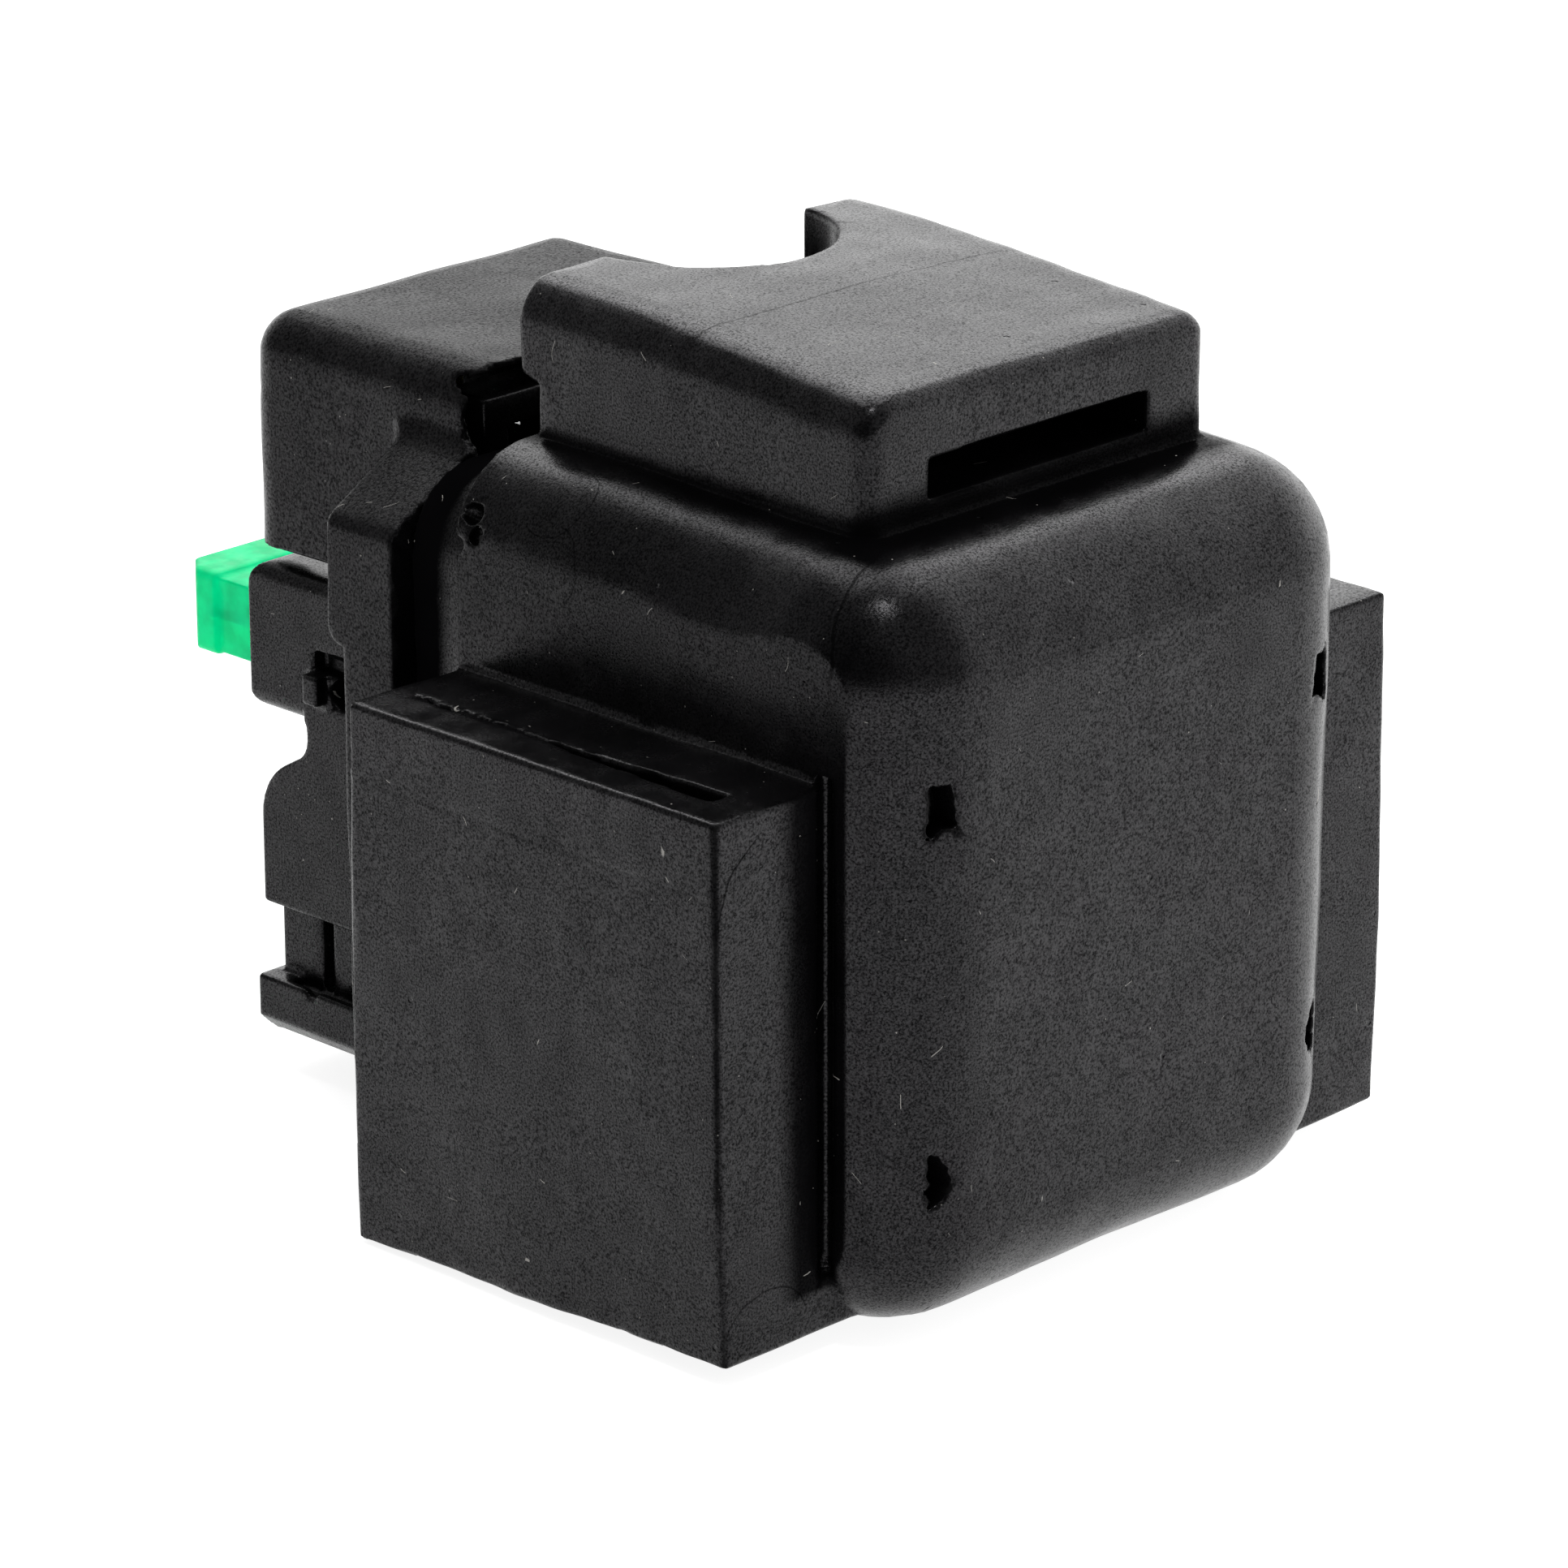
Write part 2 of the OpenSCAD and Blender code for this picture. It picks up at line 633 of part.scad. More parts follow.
// Spring clip round the fuse's +X blade: two leaves and the web that joins them
module blade_clip() {
  g = blade_t / 2 + clip_gap;
  x0 = blade_x - 2.8;
  x1 = blade_x + 2.8;
  box([x0, -20.6, fuse_z + g], [x1, -13.2, fuse_z + g + clip_t]);
  box([x0, -20.6, fuse_z - g - clip_t], [x1, -13.2, fuse_z - g]);
  box([x0, -13.6, fuse_z - g - clip_t], [x1, -13.1, fuse_z + g + clip_t]);
}
// Clip on the battery side, whose tail meets the battery bar
module fuse_feed_clip() {
  color("#d4b45a") union() {
    blade_clip();
    box([blade_x - 2.8, -13.2, fuse_z - 0.2], [blade_x + 2.8, chamber_y0, fuse_z + 0.2]);
  }
}
// Clip on the output side, stamped in one piece with the strap down to the two power pins
module fuse_output_strap() {
  strap_y1 = chamber_y0 + 0.5;
  color("#d4b45a") union() {
    mirror([1, 0, 0]) {
      blade_clip();
      box([blade_x, -13.6, fuse_z - 0.7], [strap_x1, -13.1, fuse_z + 0.7]);
      box([strap_x0, -13.2, fuse_z - 0.2], [strap_x1, strap_y1, fuse_z + 0.2]);
      box([strap_x0, chamber_y0, 6.2], [strap_x1, strap_y1, fuse_z + 0.2]);
    }
    box([-strap_x1, chamber_y0, 6.2], [8.9, strap_y1, 8.2]);
    for (x = power_pin_x) {
      box([x - pin_w / 2, chamber_y0, 8.1], [x + pin_w / 2, strap_y1, pin_z1]);
      box([x - pin_w / 2, pin_y0, pin_z0], [x + pin_w / 2, strap_y1 - 0.1, pin_z1]);
    }
  }
}

// Blade fuse: a wide grip at the front and a narrower body that enters the holder
module fuse_body() {
  color("#00c878")
  difference() {
    union() {
      intersection() {
        along_z(fuse_z - fuse_head_ht, fuse_z + fuse_head_ht) polygon([
          [fuse_hw, fuse_front + fuse_head_t], [-fuse_hw, fuse_front + fuse_head_t],
          [-fuse_hw, fuse_front + 1.6], [1.4 - fuse_hw, fuse_front],
          [fuse_hw - 1.4, fuse_front], [fuse_hw, fuse_front + 1.6]
        ]);
        along_y(fuse_front - 1, fuse_front + 5)
          polygon(round_rect(-fuse_hw, fuse_hw, fuse_z - fuse_head_ht, fuse_z + fuse_head_ht, 0.5, 0.5));
      }
      box([-fuse_body_hw, fuse_front + fuse_head_t - eps, fuse_z - fuse_body_ht],
          [fuse_body_hw, fuse_y1, fuse_z + fuse_body_ht]);
    }
    // the link's cavities, one for each blade and one for the arch between them
    both_sides() box([blade_x - blade_w / 2, fuse_front + 2, fuse_z - blade_t / 2],
                     [blade_x + blade_w / 2, fuse_y1 + 1, fuse_z + blade_t / 2]);
    box([-5, fuse_front + 4.5, fuse_z - blade_t / 2], [5, fuse_front + 9, fuse_z + blade_t / 2]);
  }
}
module fuse_link() {
  z0 = fuse_z - blade_t / 2;
  z1 = fuse_z + blade_t / 2;
  color("#c9ccd0")
  union() {
    both_sides()
      translate([blade_x, 0, 0]) along_z(z0, z1) polygon([
        [-blade_w / 2, fuse_front + 2], [blade_w / 2, fuse_front + 2],
        [blade_w / 2, blade_y1 - 1], [blade_w / 2 - 1, blade_y1], [1 - blade_w / 2, blade_y1],
        [-blade_w / 2, blade_y1 - 1]
      ]);
    box([-4.9, fuse_front + 6, z0], [4.9, fuse_front + 7.4, z1]);
  }
}

rubber_boot();
relay_case();
case_gasket();
front_housing();
terminal_cover();
battery_bar();
motor_bar();
battery_stud();
motor_stud();
flat_washers();
spring_washers();
stud_nuts();
moving_contact();
contact_spring();
push_rod();
rod_clip();
plunger();
return_spring();
fixed_core();
pole_plate();
yoke_frame();
guide_sleeve();
bobbin();
coil_winding();
winding_tape();
coil_pin_feed();
coil_pin_return();
coil_lead_feed();
coil_lead_return();
fuse_feed_clip();
fuse_output_strap();
fuse_body();
fuse_link();
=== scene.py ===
"""Looks of the starter relay in its rubber mounting boot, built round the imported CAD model.

Lengths are millimetres unless a name says otherwise, and become metres when a mesh is made. The moulded
pieces are made from distance fields: a function gives the distance of any point from the piece's skin, below
zero inside, and OpenVDB turns the field into a mesh. That gives them rounded edges, fillets and torn holes.
"""

import math

import bpy
import numpy as np
import openvdb
from mathutils import Matrix, Vector


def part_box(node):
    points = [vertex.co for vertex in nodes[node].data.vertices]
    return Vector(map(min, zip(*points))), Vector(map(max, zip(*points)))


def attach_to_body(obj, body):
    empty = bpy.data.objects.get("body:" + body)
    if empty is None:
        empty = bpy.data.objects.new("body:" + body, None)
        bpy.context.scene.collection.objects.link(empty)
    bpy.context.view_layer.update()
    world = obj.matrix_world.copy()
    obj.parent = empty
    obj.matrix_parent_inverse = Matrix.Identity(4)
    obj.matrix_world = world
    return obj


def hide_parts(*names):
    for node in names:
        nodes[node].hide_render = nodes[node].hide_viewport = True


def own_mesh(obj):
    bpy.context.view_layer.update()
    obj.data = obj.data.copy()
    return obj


MM = 0.001
PAST = 40.0  # how far a shape runs past an end that is open or cut off

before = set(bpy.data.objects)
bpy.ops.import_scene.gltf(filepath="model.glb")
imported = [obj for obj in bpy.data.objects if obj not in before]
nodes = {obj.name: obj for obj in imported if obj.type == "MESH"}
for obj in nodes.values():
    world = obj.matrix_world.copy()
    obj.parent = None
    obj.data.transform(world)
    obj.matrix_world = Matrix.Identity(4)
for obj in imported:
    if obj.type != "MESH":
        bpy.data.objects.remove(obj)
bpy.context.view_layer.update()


def box_mm(node):
    """A CAD node's lowest and highest corners, to the micrometre."""
    return [[round(v / MM, 3) for v in corner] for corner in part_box(node)]


# ---------------------------------------------------------------- distance fields

def block(p, lo, hi, r=0.0):
    """Box from lo to hi with edges of radius r."""
    q = [np.abs(p[i] - (lo[i] + hi[i]) / 2) - ((hi[i] - lo[i]) / 2 - r) for i in range(3)]
    outside = np.sqrt(sum(np.maximum(v, 0) ** 2 for v in q))
    inside = np.minimum(np.maximum(np.maximum(q[0], q[1]), q[2]), 0)
    return outside + inside - r


def rect(u, v, u0, u1, v0, v1, r):
    """Rectangle in a plane with corners of radius r."""
    a = np.abs(u - (u0 + u1) / 2) - ((u1 - u0) / 2 - r)
    b = np.abs(v - (v0 + v1) / 2) - ((v1 - v0) / 2 - r)
    return np.hypot(np.maximum(a, 0), np.maximum(b, 0)) + np.minimum(np.maximum(a, b), 0) - r


def outline(u, v, corners):
    """Distance to a closed outline in a plane."""
    d, inside = np.inf, False
    for (u0, v0), (u1, v1) in zip(corners, corners[1:] + corners[:1]):
        du, dv = u1 - u0, v1 - v0
        t = np.clip(((u - u0) * du + (v - v0) * dv) / (du * du + dv * dv), 0, 1)
        d = np.minimum(d, np.hypot(u - u0 - t * du, v - v0 - t * dv))
        if dv:
            inside = inside ^ (((v0 > v) != (v1 > v)) & (u < u0 + (v - v0) * du / dv))
    return np.where(inside, -d, d)


def inset(corners, r):
    """Outline with each side moved in by r. The corners run clockwise round a shape without hollows."""
    sides = []
    for (u0, v0), (u1, v1) in zip(corners, corners[1:] + corners[:1]):
        long = math.hypot(u1 - u0, v1 - v0)
        nu, nv = (v1 - v0) / long, -(u1 - u0) / long
        sides.append((nu, nv, nu * u0 + nv * v0 - r))
    moved = []
    for (a, b, c), (d, e, f) in zip(sides[-1:] + sides[:-1], sides):
        whole = a * e - b * d
        moved.append(((c * e - b * f) / whole, (a * f - c * d) / whole))
    return moved


def upright(p, x, y, r):
    """Endless cylinder along Z."""
    return np.sqrt((p[0] - x) ** 2 + (p[1] - y) ** 2) - r


def join(a, b, k):
    """a and b together, with a fillet about k wide where they meet."""
    h = np.maximum(k - np.abs(a - b), 0) / k
    return np.minimum(a, b) - h * h * k / 4


def cut(a, b, k=0.15):
    """a without b, with the edge between them rounded over about k."""
    return -join(-a, b, k)


def smooth(x, a, b):
    """0 below a, 1 above b, and an even ramp between them."""
    t = np.clip((x - a) / (b - a), 0, 1)
    return t * t * (3 - 2 * t)


def ripple(p, size, seed):
    """Smooth wandering value, about -1 to 1, that changes over about size."""
    rng = np.random.default_rng(seed)
    waves = 7
    swing = 1.8  # makes up for waves that cancel each other
    total = 0
    for _ in range(waves):
        way = rng.normal(size=3)
        way *= 2 * math.pi / (size * np.linalg.norm(way)) * rng.uniform(0.6, 1.4)
        start = rng.uniform(0, 2 * math.pi)
        total = total + np.sin(way[0] * p[0] + way[1] * p[1] + way[2] * p[2] + start)
    return total / waves * swing


class Field:
    """Distances on a grid over the box from lo to hi."""

    BAND = 4  # voxels on each side of the skin that keep their true distance
    SLICES = 24  # slices worked out at a time, to spare memory

    def __init__(self, lo, hi, voxel):
        self.voxel = voxel
        self.lo = np.array(lo, float) - self.BAND * voxel
        self.shape = tuple(int(math.ceil((h - l) / voxel)) + 2 * self.BAND + 1 for l, h in zip(lo, hi))
        self.d = np.empty(self.shape, np.float32)

    def points(self, i0, i1):
        """Coordinates of the slices from i0 to i1, as three arrays that combine into one grid."""
        axes = [self.lo[k] + self.voxel * np.arange(self.shape[k], dtype=np.float32) for k in range(3)]
        return axes[0][i0:i1, None, None], axes[1][None, :, None], axes[2][None, None, :]

    def fill(self, shape):
        """Sets the field to shape(p)."""
        for i in range(0, self.shape[0], self.SLICES):
            self.d[i:i + self.SLICES] = shape(self.points(i, i + self.SLICES))
        return self

    def edit(self, change):
        """Sets the field to change(p, d)."""
        for i in range(0, self.shape[0], self.SLICES):
            part = slice(i, i + self.SLICES)
            self.d[part] = change(self.points(part.start, part.stop), self.d[part])
        return self

    def from_node(self, name):
        """Sets the field to a CAD node's own shape."""
        mesh = nodes[name].data
        mesh.calc_loop_triangles()
        co = np.empty(len(mesh.vertices) * 3, np.float32)
        mesh.vertices.foreach_get("co", co)
        tri = np.empty(len(mesh.loop_triangles) * 3, np.int32)
        mesh.loop_triangles.foreach_get("vertices", tri)
        co = (co.reshape(-1, 3) / MM - self.lo) / self.voxel
        grid = openvdb.FloatGrid.createLevelSetFromPolygons(
            co.astype(np.float32), triangles=tri.reshape(-1, 3).astype(np.uint32), halfWidth=self.BAND)
        grid.copyToArray(self.d)
        self.d *= self.voxel
        return self

    def soften(self):
        """Rounds every edge a little."""
        for axis in range(3):
            d = np.moveaxis(self.d, axis, 0)
            middle = d[1:-1].copy()
            d[1:-1] = 0.5 * middle + 0.25 * (d[2:] + np.concatenate((d[:1], middle[:-1])))
        return self

    def sample(self, at):
        """Distances at points given in voxels."""
        i = np.clip(np.floor(at).astype(int), 0, np.array(self.shape) - 2)
        f = at - i
        total = 0
        for corner in range(8):
            o = np.array([corner >> 2 & 1, corner >> 1 & 1, corner & 1])
            weight = np.prod(np.where(o, f, 1 - f), axis=1)
            j = i + o
            total = total + weight * self.d[j[:, 0], j[:, 1], j[:, 2]]
        return total

    def slope(self, at):
        """The skin's normals at points given in voxels."""
        reach = 0.75
        slope = np.stack([self.sample(at + s) - self.sample(at - s) for s in np.eye(3) * reach], axis=1)
        return slope / np.maximum(np.linalg.norm(slope, axis=1, keepdims=True), 1e-9)

    def bend(self, at):
        """How sharply the skin bends at points given in voxels: above 0 on edges, and below it in corners."""
        reach = 1.5
        around = sum(self.sample(at + s) + self.sample(at - s) for s in np.eye(3) * reach)
        return around / (self.voxel * reach ** 2)

    def mesh(self, name, evenness):
        """The skin as an object in metres. Flat stretches get larger faces as evenness rises."""
        limit = self.BAND * self.voxel
        grid = openvdb.FloatGrid(limit)
        grid.copyFromArray(np.clip(self.d, -limit, limit))
        at, triangles, quads = grid.convertToPolygons(isovalue=0.0, adaptivity=evenness)
        made = bpy.data.meshes.new(name)
        made.from_pydata(((at * self.voxel + self.lo) * MM).tolist(), [], triangles.tolist() + quads.tolist())
        edge = made.attributes.new("edge", "FLOAT", "POINT")
        edge.data.foreach_set("value", np.clip(self.bend(at), -2, 2).astype(np.float32))
        made.shade_smooth()
        made.normals_split_custom_set_from_vertices(self.slope(at).tolist())
        made.update()
        piece = bpy.data.objects.new(name, made)
        bpy.context.scene.collection.objects.link(piece)
        return piece


def attach(piece, body, slot, *replaced):
    """Says which body a piece rides on and which CAD nodes it stands for. Its slot is not used."""
    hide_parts(*replaced)
    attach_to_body(piece, body)
    return piece


# ---------------------------------------------------------------- rubber boot

(_, COLLAR_Y0, _), (POCKET_X, BOOT_BACK, LOCK_TOP) = box_mm("rubber_boot")

BOOT_HALF = 18.9
BOOT_TOP = 43.7
BOOT_R = 6.5
WALL = 1.8
RIM_Y = 0.3
CREASE = 0.12  # how far the +X wall is cut back, which makes the crease
HOLLOW_Y0 = 0.6
NECK_Z0, NECK_Z1 = 2.9, 38.5

COLLAR_HALF = 17.75
COLLAR_FLARE = 0.35
COLLAR_LOW, COLLAR_HIGH = 19.2, 23.7  # heights from which its half width is measured down and up
COLLAR_R = 5.0

POCKET_Y1 = 28.15
POCKET_TOP = 31.8
POCKET_ROOF = 2.5
TAB_X, TAB_Y = 23.6, 14.15  # middle of the tab slot in a side block
TAB_HALF_THICK, TAB_HALF_WIDE = 1.0, 10.0

SLIT_Y0, SLIT_Y1 = 2.1, 25.5
SLIT_DEEP = 3.5

LOCK_X0, LOCK_X1 = -13.8, 12.95
LOCK_Y0, LOCK_Y1 = 0.7, 25.6
LOCK_ROOT = 36.0  # height inside the boot that its block starts from
LOCK_DROOP, LOCK_SAG = 1.5, 0.5
LIP, LIP_Z = 1.5, 46.8
LOCK_SLOT = (-8.85, 4.6, 44.5), (8.3, PAST, 46.7)
NOTCH_X, NOTCH_Y, NOTCH_R, NOTCH_Z0 = -1.4, -1.3, 7.8, 44.4

VENT_Y0 = 27.5
VENT_HIGH = [(15.7, 32.4), (15.3, 32.0), (14.4, 32.0), (14.1, 29.7), (15.0, 29.7), (15.5, 29.2), (15.8, 29.2),
             (15.6, 30.9)]
VENT_LOW = [(15.8, 11.6), (15.1, 11.3), (14.5, 10.4), (14.3, 9.7), (14.7, 8.9), (15.7, 8.3), (15.5, 8.9),
            (15.8, 9.4), (15.4, 9.8), (15.7, 10.4), (15.5, 10.9)]
TEARS = [(18.1, 1.2, 40.5, 0.72), (18.4, 1.9, 39.6, 0.55), (18.8, 0.4, 38.7, 0.45)]  # x, y, z and radius


def boot_body(p):
    """Box of the boot, from outside. Its edges are tighter near the rim, the -X wall bulges, and the +X wall
    swells at the rear but is cut flat, which leaves a crease down the rear corner."""
    x, y, z = p
    tighter = 1.1 * (1 - smooth(y, 4, 24))
    rounder = 0.4 * smooth(y, 24, 28)
    bulge = 1 + 0.035 * smooth(z, 6, 34) * (x < 0)
    lower = 1 + 0.012 * smooth(y, 4, 28)
    half = BOOT_HALF + 0.55 * smooth(y, 20, 27) * (x > 0)
    lo, hi = (-half, RIM_Y - PAST, 0), (half, BOOT_BACK, BOOT_TOP)
    d = block((x / bulge, y, z * lower), lo, hi, BOOT_R - tighter + rounder)
    return np.maximum(d, x - BOOT_HALF + CREASE)


def collar(p):
    """Band in front of the rim, which flares out towards it."""
    y = p[1]
    half = COLLAR_HALF + COLLAR_FLARE * np.clip((y - COLLAR_Y0) / (RIM_Y - COLLAR_Y0), 0, 1)
    lo = (-half, COLLAR_Y0 - PAST, COLLAR_LOW - half)
    hi = (half, RIM_Y + PAST, COLLAR_HIGH + half)
    d = block(p, lo, hi, COLLAR_R)
    return np.maximum(np.maximum(d, COLLAR_Y0 - y), y - RIM_Y - 0.5)


def pocket_block(p):
    """Both side blocks. The front leans back, the underside rises backwards, the side bulges, and its upper
    part stands a little proud. The +X block also leans outwards."""
    x, y, z = p
    rise = z / 32
    front = -0.4 + 0.8 * rise
    bottom = 0.2 + 0.9 * y / 28
    ledge = 0.09 * smooth(z, 27.4, 27.8)
    bulge = 0.25 * np.sin(np.clip(z / 31, 0, 1) * math.pi) - 0.2
    lean = (0.1 + 0.5 * rise) * (x > 0)
    proud = (ledge + bulge + lean) * np.where(x > 0, 1.0, 0.4)
    lo, hi = (10, front, bottom), (POCKET_X, POCKET_Y1, POCKET_TOP)
    return block((np.abs(x) - proud, y, z), lo, hi, 0.28)


def lock_block(p):
    """Top pocket's block. It droops backwards and to -X, overhangs in front, and its +X edge is the rounder."""
    x, y, z = p
    droop = LOCK_DROOP * np.clip(y / LOCK_Y1, 0, 1) ** 1.5
    high = z + droop + LOCK_SAG * np.clip(x / LOCK_X0, 0, 1)
    front = LOCK_Y0 - LIP * smooth(z, LIP_Z - 0.15, LIP_Z + 0.15)
    soft = 0.5 + 0.8 * smooth(y, 2, 24)
    across = rect(x, high, LOCK_X0, LOCK_X1, LOCK_ROOT, LOCK_TOP, np.where(x > 0, 2.8, 1.5))
    along = rect(y, high, front, LOCK_Y1, LOCK_ROOT, LOCK_TOP, soft)
    return -join(-across, -along, soft)


def boot_skin(p):
    """Outer shape of the boot, slightly uneven, before anything is cut out of it."""
    d = np.maximum(boot_body(p), RIM_Y - p[1])
    d = join(d, collar(p), 0.35)
    d = join(d, pocket_block(p), 0.22)
    d = join(d, lock_block(p), 0.3)
    return d + 0.07 * ripple(p, 14, 3) + 0.03 * ripple(p, 4, 4)


def vent(p, corners, side):
    """Torn hole through the closed end."""
    x, y, z = p
    rough = 0.05 * np.sin(7 * z + 3 * x) + 0.04 * np.sin(15 * x - 9 * z)
    return np.maximum(outline(x * side, z, corners) + rough, VENT_Y0 - y)


def slit(p):
    """Split through each side block's top: ragged and shut in front, and open behind."""
    x, y, z = p
    t = np.clip((y - SLIT_Y0) / (SLIT_Y1 - SLIT_Y0), 0, 1)
    ragged = 0.10 * (1 - t) * (np.sin(y * 2.9) * np.sin(y * 7.3 + x) + 0.5)
    half = 0.03 + 0.60 * smooth(t, 0.35, 1.0) + ragged
    middle = TAB_X + 0.25 * t + 0.10 * np.sin(y * 1.7) * (1 - t)
    d = np.maximum(np.abs(np.abs(x) - middle) - half, np.maximum(SLIT_Y0 - y, y - SLIT_Y1))
    return np.maximum(d, POCKET_TOP - SLIT_DEEP - z)


def tears(p):
    """Small holes torn where the collar meets the +X shoulder."""
    x, y, z = p
    holes = [np.sqrt((x - u) ** 2 + (y - v) ** 2 + (z - w) ** 2) - r for u, v, w, r in TEARS]
    return np.min(holes, axis=0) + 0.20 * ripple(p, 1.3, 8)


def root_groove(p):
    """Narrow groove down the inner corner where the +X block's rear face meets the wall."""
    x, y, z = p
    half, inwards, outwards = 0.42, 1.3, 0.7
    bottom, above = 4.2, 0.5
    out, back = x - BOOT_HALF + 0.1, y - POCKET_Y1
    deep = (out + back) / math.sqrt(2)
    across = (out - back) / math.sqrt(2)
    d = np.maximum(np.abs(across) - half, np.maximum(-deep - inwards, deep - outwards))
    return np.maximum(d, np.maximum(bottom - z, z - POCKET_TOP - above))


def boot_inside(p):
    """Room for the relay's case, and the narrower opening in front of it."""
    y = p[1]
    half = BOOT_HALF - WALL
    hollow = block(p, (-half, -PAST, WALL), (half, BOOT_BACK - WALL, BOOT_TOP - WALL), BOOT_R - WALL)
    neck_hole = block(p, (-half, -PAST, NECK_Z0), (half, PAST, NECK_Z1), 2.0)
    return np.minimum(np.maximum(hollow, HOLLOW_Y0 - y), np.maximum(neck_hole, y - HOLLOW_Y0 - 0.1))


def tab_slots(p):
    """Slots for the bracket's tabs, open below."""
    x, y, z = p
    lo = (TAB_X - TAB_HALF_THICK, TAB_Y - TAB_HALF_WIDE, -PAST)
    hi = (TAB_X + TAB_HALF_THICK, TAB_Y + TAB_HALF_WIDE, POCKET_TOP - POCKET_ROOF)
    return block((np.abs(x), y, z), lo, hi, 0.2)


def boot_shape(p):
    """The boot: its skin without its hollow, pockets, notch, slits and torn holes."""
    d = cut(boot_skin(p), root_groove(p), 0.05)
    d = cut(d, boot_inside(p))
    d = cut(d, tab_slots(p))
    d = cut(d, slit(p), 0.1)
    d = cut(d, block(p, *LOCK_SLOT, 0.12), 0.12)
    d = cut(d, np.maximum(upright(p, NOTCH_X, NOTCH_Y, NOTCH_R), NOTCH_Z0 - p[2]))
    for side in (1, -1):
        d = cut(d, vent(p, VENT_HIGH, side), 0.08)
        d = cut(d, vent(p, VENT_LOW, side), 0.08)
    return cut(d, tears(p), 0.1)


def make_boot():
    room = 0.3
    field = Field((-POCKET_X - room, COLLAR_Y0, 0), (POCKET_X + room, BOOT_BACK, LOCK_TOP), 0.2)
    return attach(field.fill(boot_shape).mesh("boot", 0.04), "relay", "boot_rubber", "rubber_boot")


# ---------------------------------------------------------------- soft terminal cover

SKIRT_HALF = box_mm("terminal_cover")[1][0]
SKIRT_Y0, SKIRT_LOW_Y, SKIRT_Y1 = -10.2, -8.9, -4.75
SKIRT_R = 1.3
STEP_Z = 30.7  # the skirt is thicker above this

HOOD_HALF = 12.6
HOOD_Y0, HOOD_Y1 = -23.8, -5.5
HOOD_Z0, HOOD_TOP = 32.2, 45.9
HOOD_WALL = 1.3

SKIRT_CORNERS = [(SKIRT_HALF, 5.7), (SKIRT_HALF, 38.1), (HOOD_HALF, 41.7), (-HOOD_HALF, 41.7),
                 (-SKIRT_HALF, 38.1), (-SKIRT_HALF, 5.7), (-HOOD_HALF, 2.2), (HOOD_HALF, 2.2)]

MIDDLE_HALF, MIDDLE_TOP = 12.75, 31.3  # opening round the fuse holder and the socket
CATCH_ROOM = (12, -PAST, 22.9), (13.8, PAST, 28.3)
PORT_X0, PORT_X1, PORT_TOP, PORT_R = 2.2, 10.2, 37.4, 3.4


def hood(p):
    """Box over the terminals, with a torn rear edge. Its -X side draws in a little towards the front."""
    x, y, z = p
    narrow = np.where(x < 0, 1 + 0.04 * (1 - smooth(y, -22, -8)), 1.0)
    d = block((x * narrow, y, z), (-HOOD_HALF, HOOD_Y0, 20), (HOOD_HALF, PAST, HOOD_TOP), 2.5)
    torn = 0.13 * np.sin(1.3 * (x - z) + 0.6) + 0.07 * np.sin(4.1 * (x - z)) + 0.04 * np.sin(9 * (x - z))
    return np.maximum(np.maximum(d, y - HOOD_Y1 - torn), HOOD_Z0 - z)


def skirt(p):
    """Collar of the cover in front of the boot. It steps back below STEP_Z, and its rear edge is torn."""
    x, y, z = p
    torn = 0.05 * np.sin(3.1 * z) * np.sin(1.3 * z) + 0.11 * np.sin(3.7 * (x - z)) * smooth(z, 35, 38)
    sheet = outline(x, z, inset(SKIRT_CORNERS, SKIRT_R)) - SKIRT_R
    step = -join(-(SKIRT_Y0 - y), -(STEP_Z - z), 1.4)
    ahead = np.minimum(step, SKIRT_LOW_Y - y)
    return np.maximum(-join(-sheet, -ahead, 0.35), y - SKIRT_Y1 - torn)


def hood_inside(p):
    """The hood's hollow. The walls thin out towards its open rear."""
    y, z = p[1], p[2]
    thin = 0.9 * smooth(y, -9, HOOD_Y1)
    half = HOOD_HALF - HOOD_WALL + thin * smooth(z, 36, 41)
    return block(p, (-half, HOOD_Y0 + HOOD_WALL, 20), (half, PAST, HOOD_TOP - HOOD_WALL + thin), 0.4)


def cover_shape(p):
    """Hood and skirt in one moulding, with openings for the holder, the socket, the catches and two wires."""
    x, y, z = p
    mirrored = (np.abs(x), y, z)
    d = join(hood(p), skirt(p), 1.2) + 0.05 * ripple(p, 9, 11)
    d = cut(d, hood_inside(p), 0.08)
    d = cut(d, block(p, (-MIDDLE_HALF, -PAST, -PAST), (MIDDLE_HALF, PAST, MIDDLE_TOP), 0.2))
    d = cut(d, block(mirrored, *CATCH_ROOM, 0.2))
    return cut(d, block(mirrored, (PORT_X0, -PAST, 20), (PORT_X1, HOOD_Y0 + HOOD_WALL + 1, PORT_TOP), PORT_R))


def make_cover():
    field = Field((-SKIRT_HALF, HOOD_Y0, 2.0), (SKIRT_HALF, SKIRT_Y1 + 0.3, HOOD_TOP), 0.16)
    return attach(field.fill(cover_shape).mesh("cover", 0.04), "cover", "cover_plastic", "terminal_cover")


# ---------------------------------------------------------------- hard mouldings from their CAD nodes

HOLDER_HALF = 12.6
HOLDER_Z0, HOLDER_Z1 = 22.2, 31.1
HOLDER_R = 1.1
HOLDER_Y1, HOLDER_LOW_Y1 = -11.0, -19.4  # where its upper and lower edges end
SOCKET_Y1, SOCKET_Z0, SOCKET_BEVEL = -5.5, 2.1, 1.1
SOCKET_LOW = 8.0  # the bevel is looked for below this


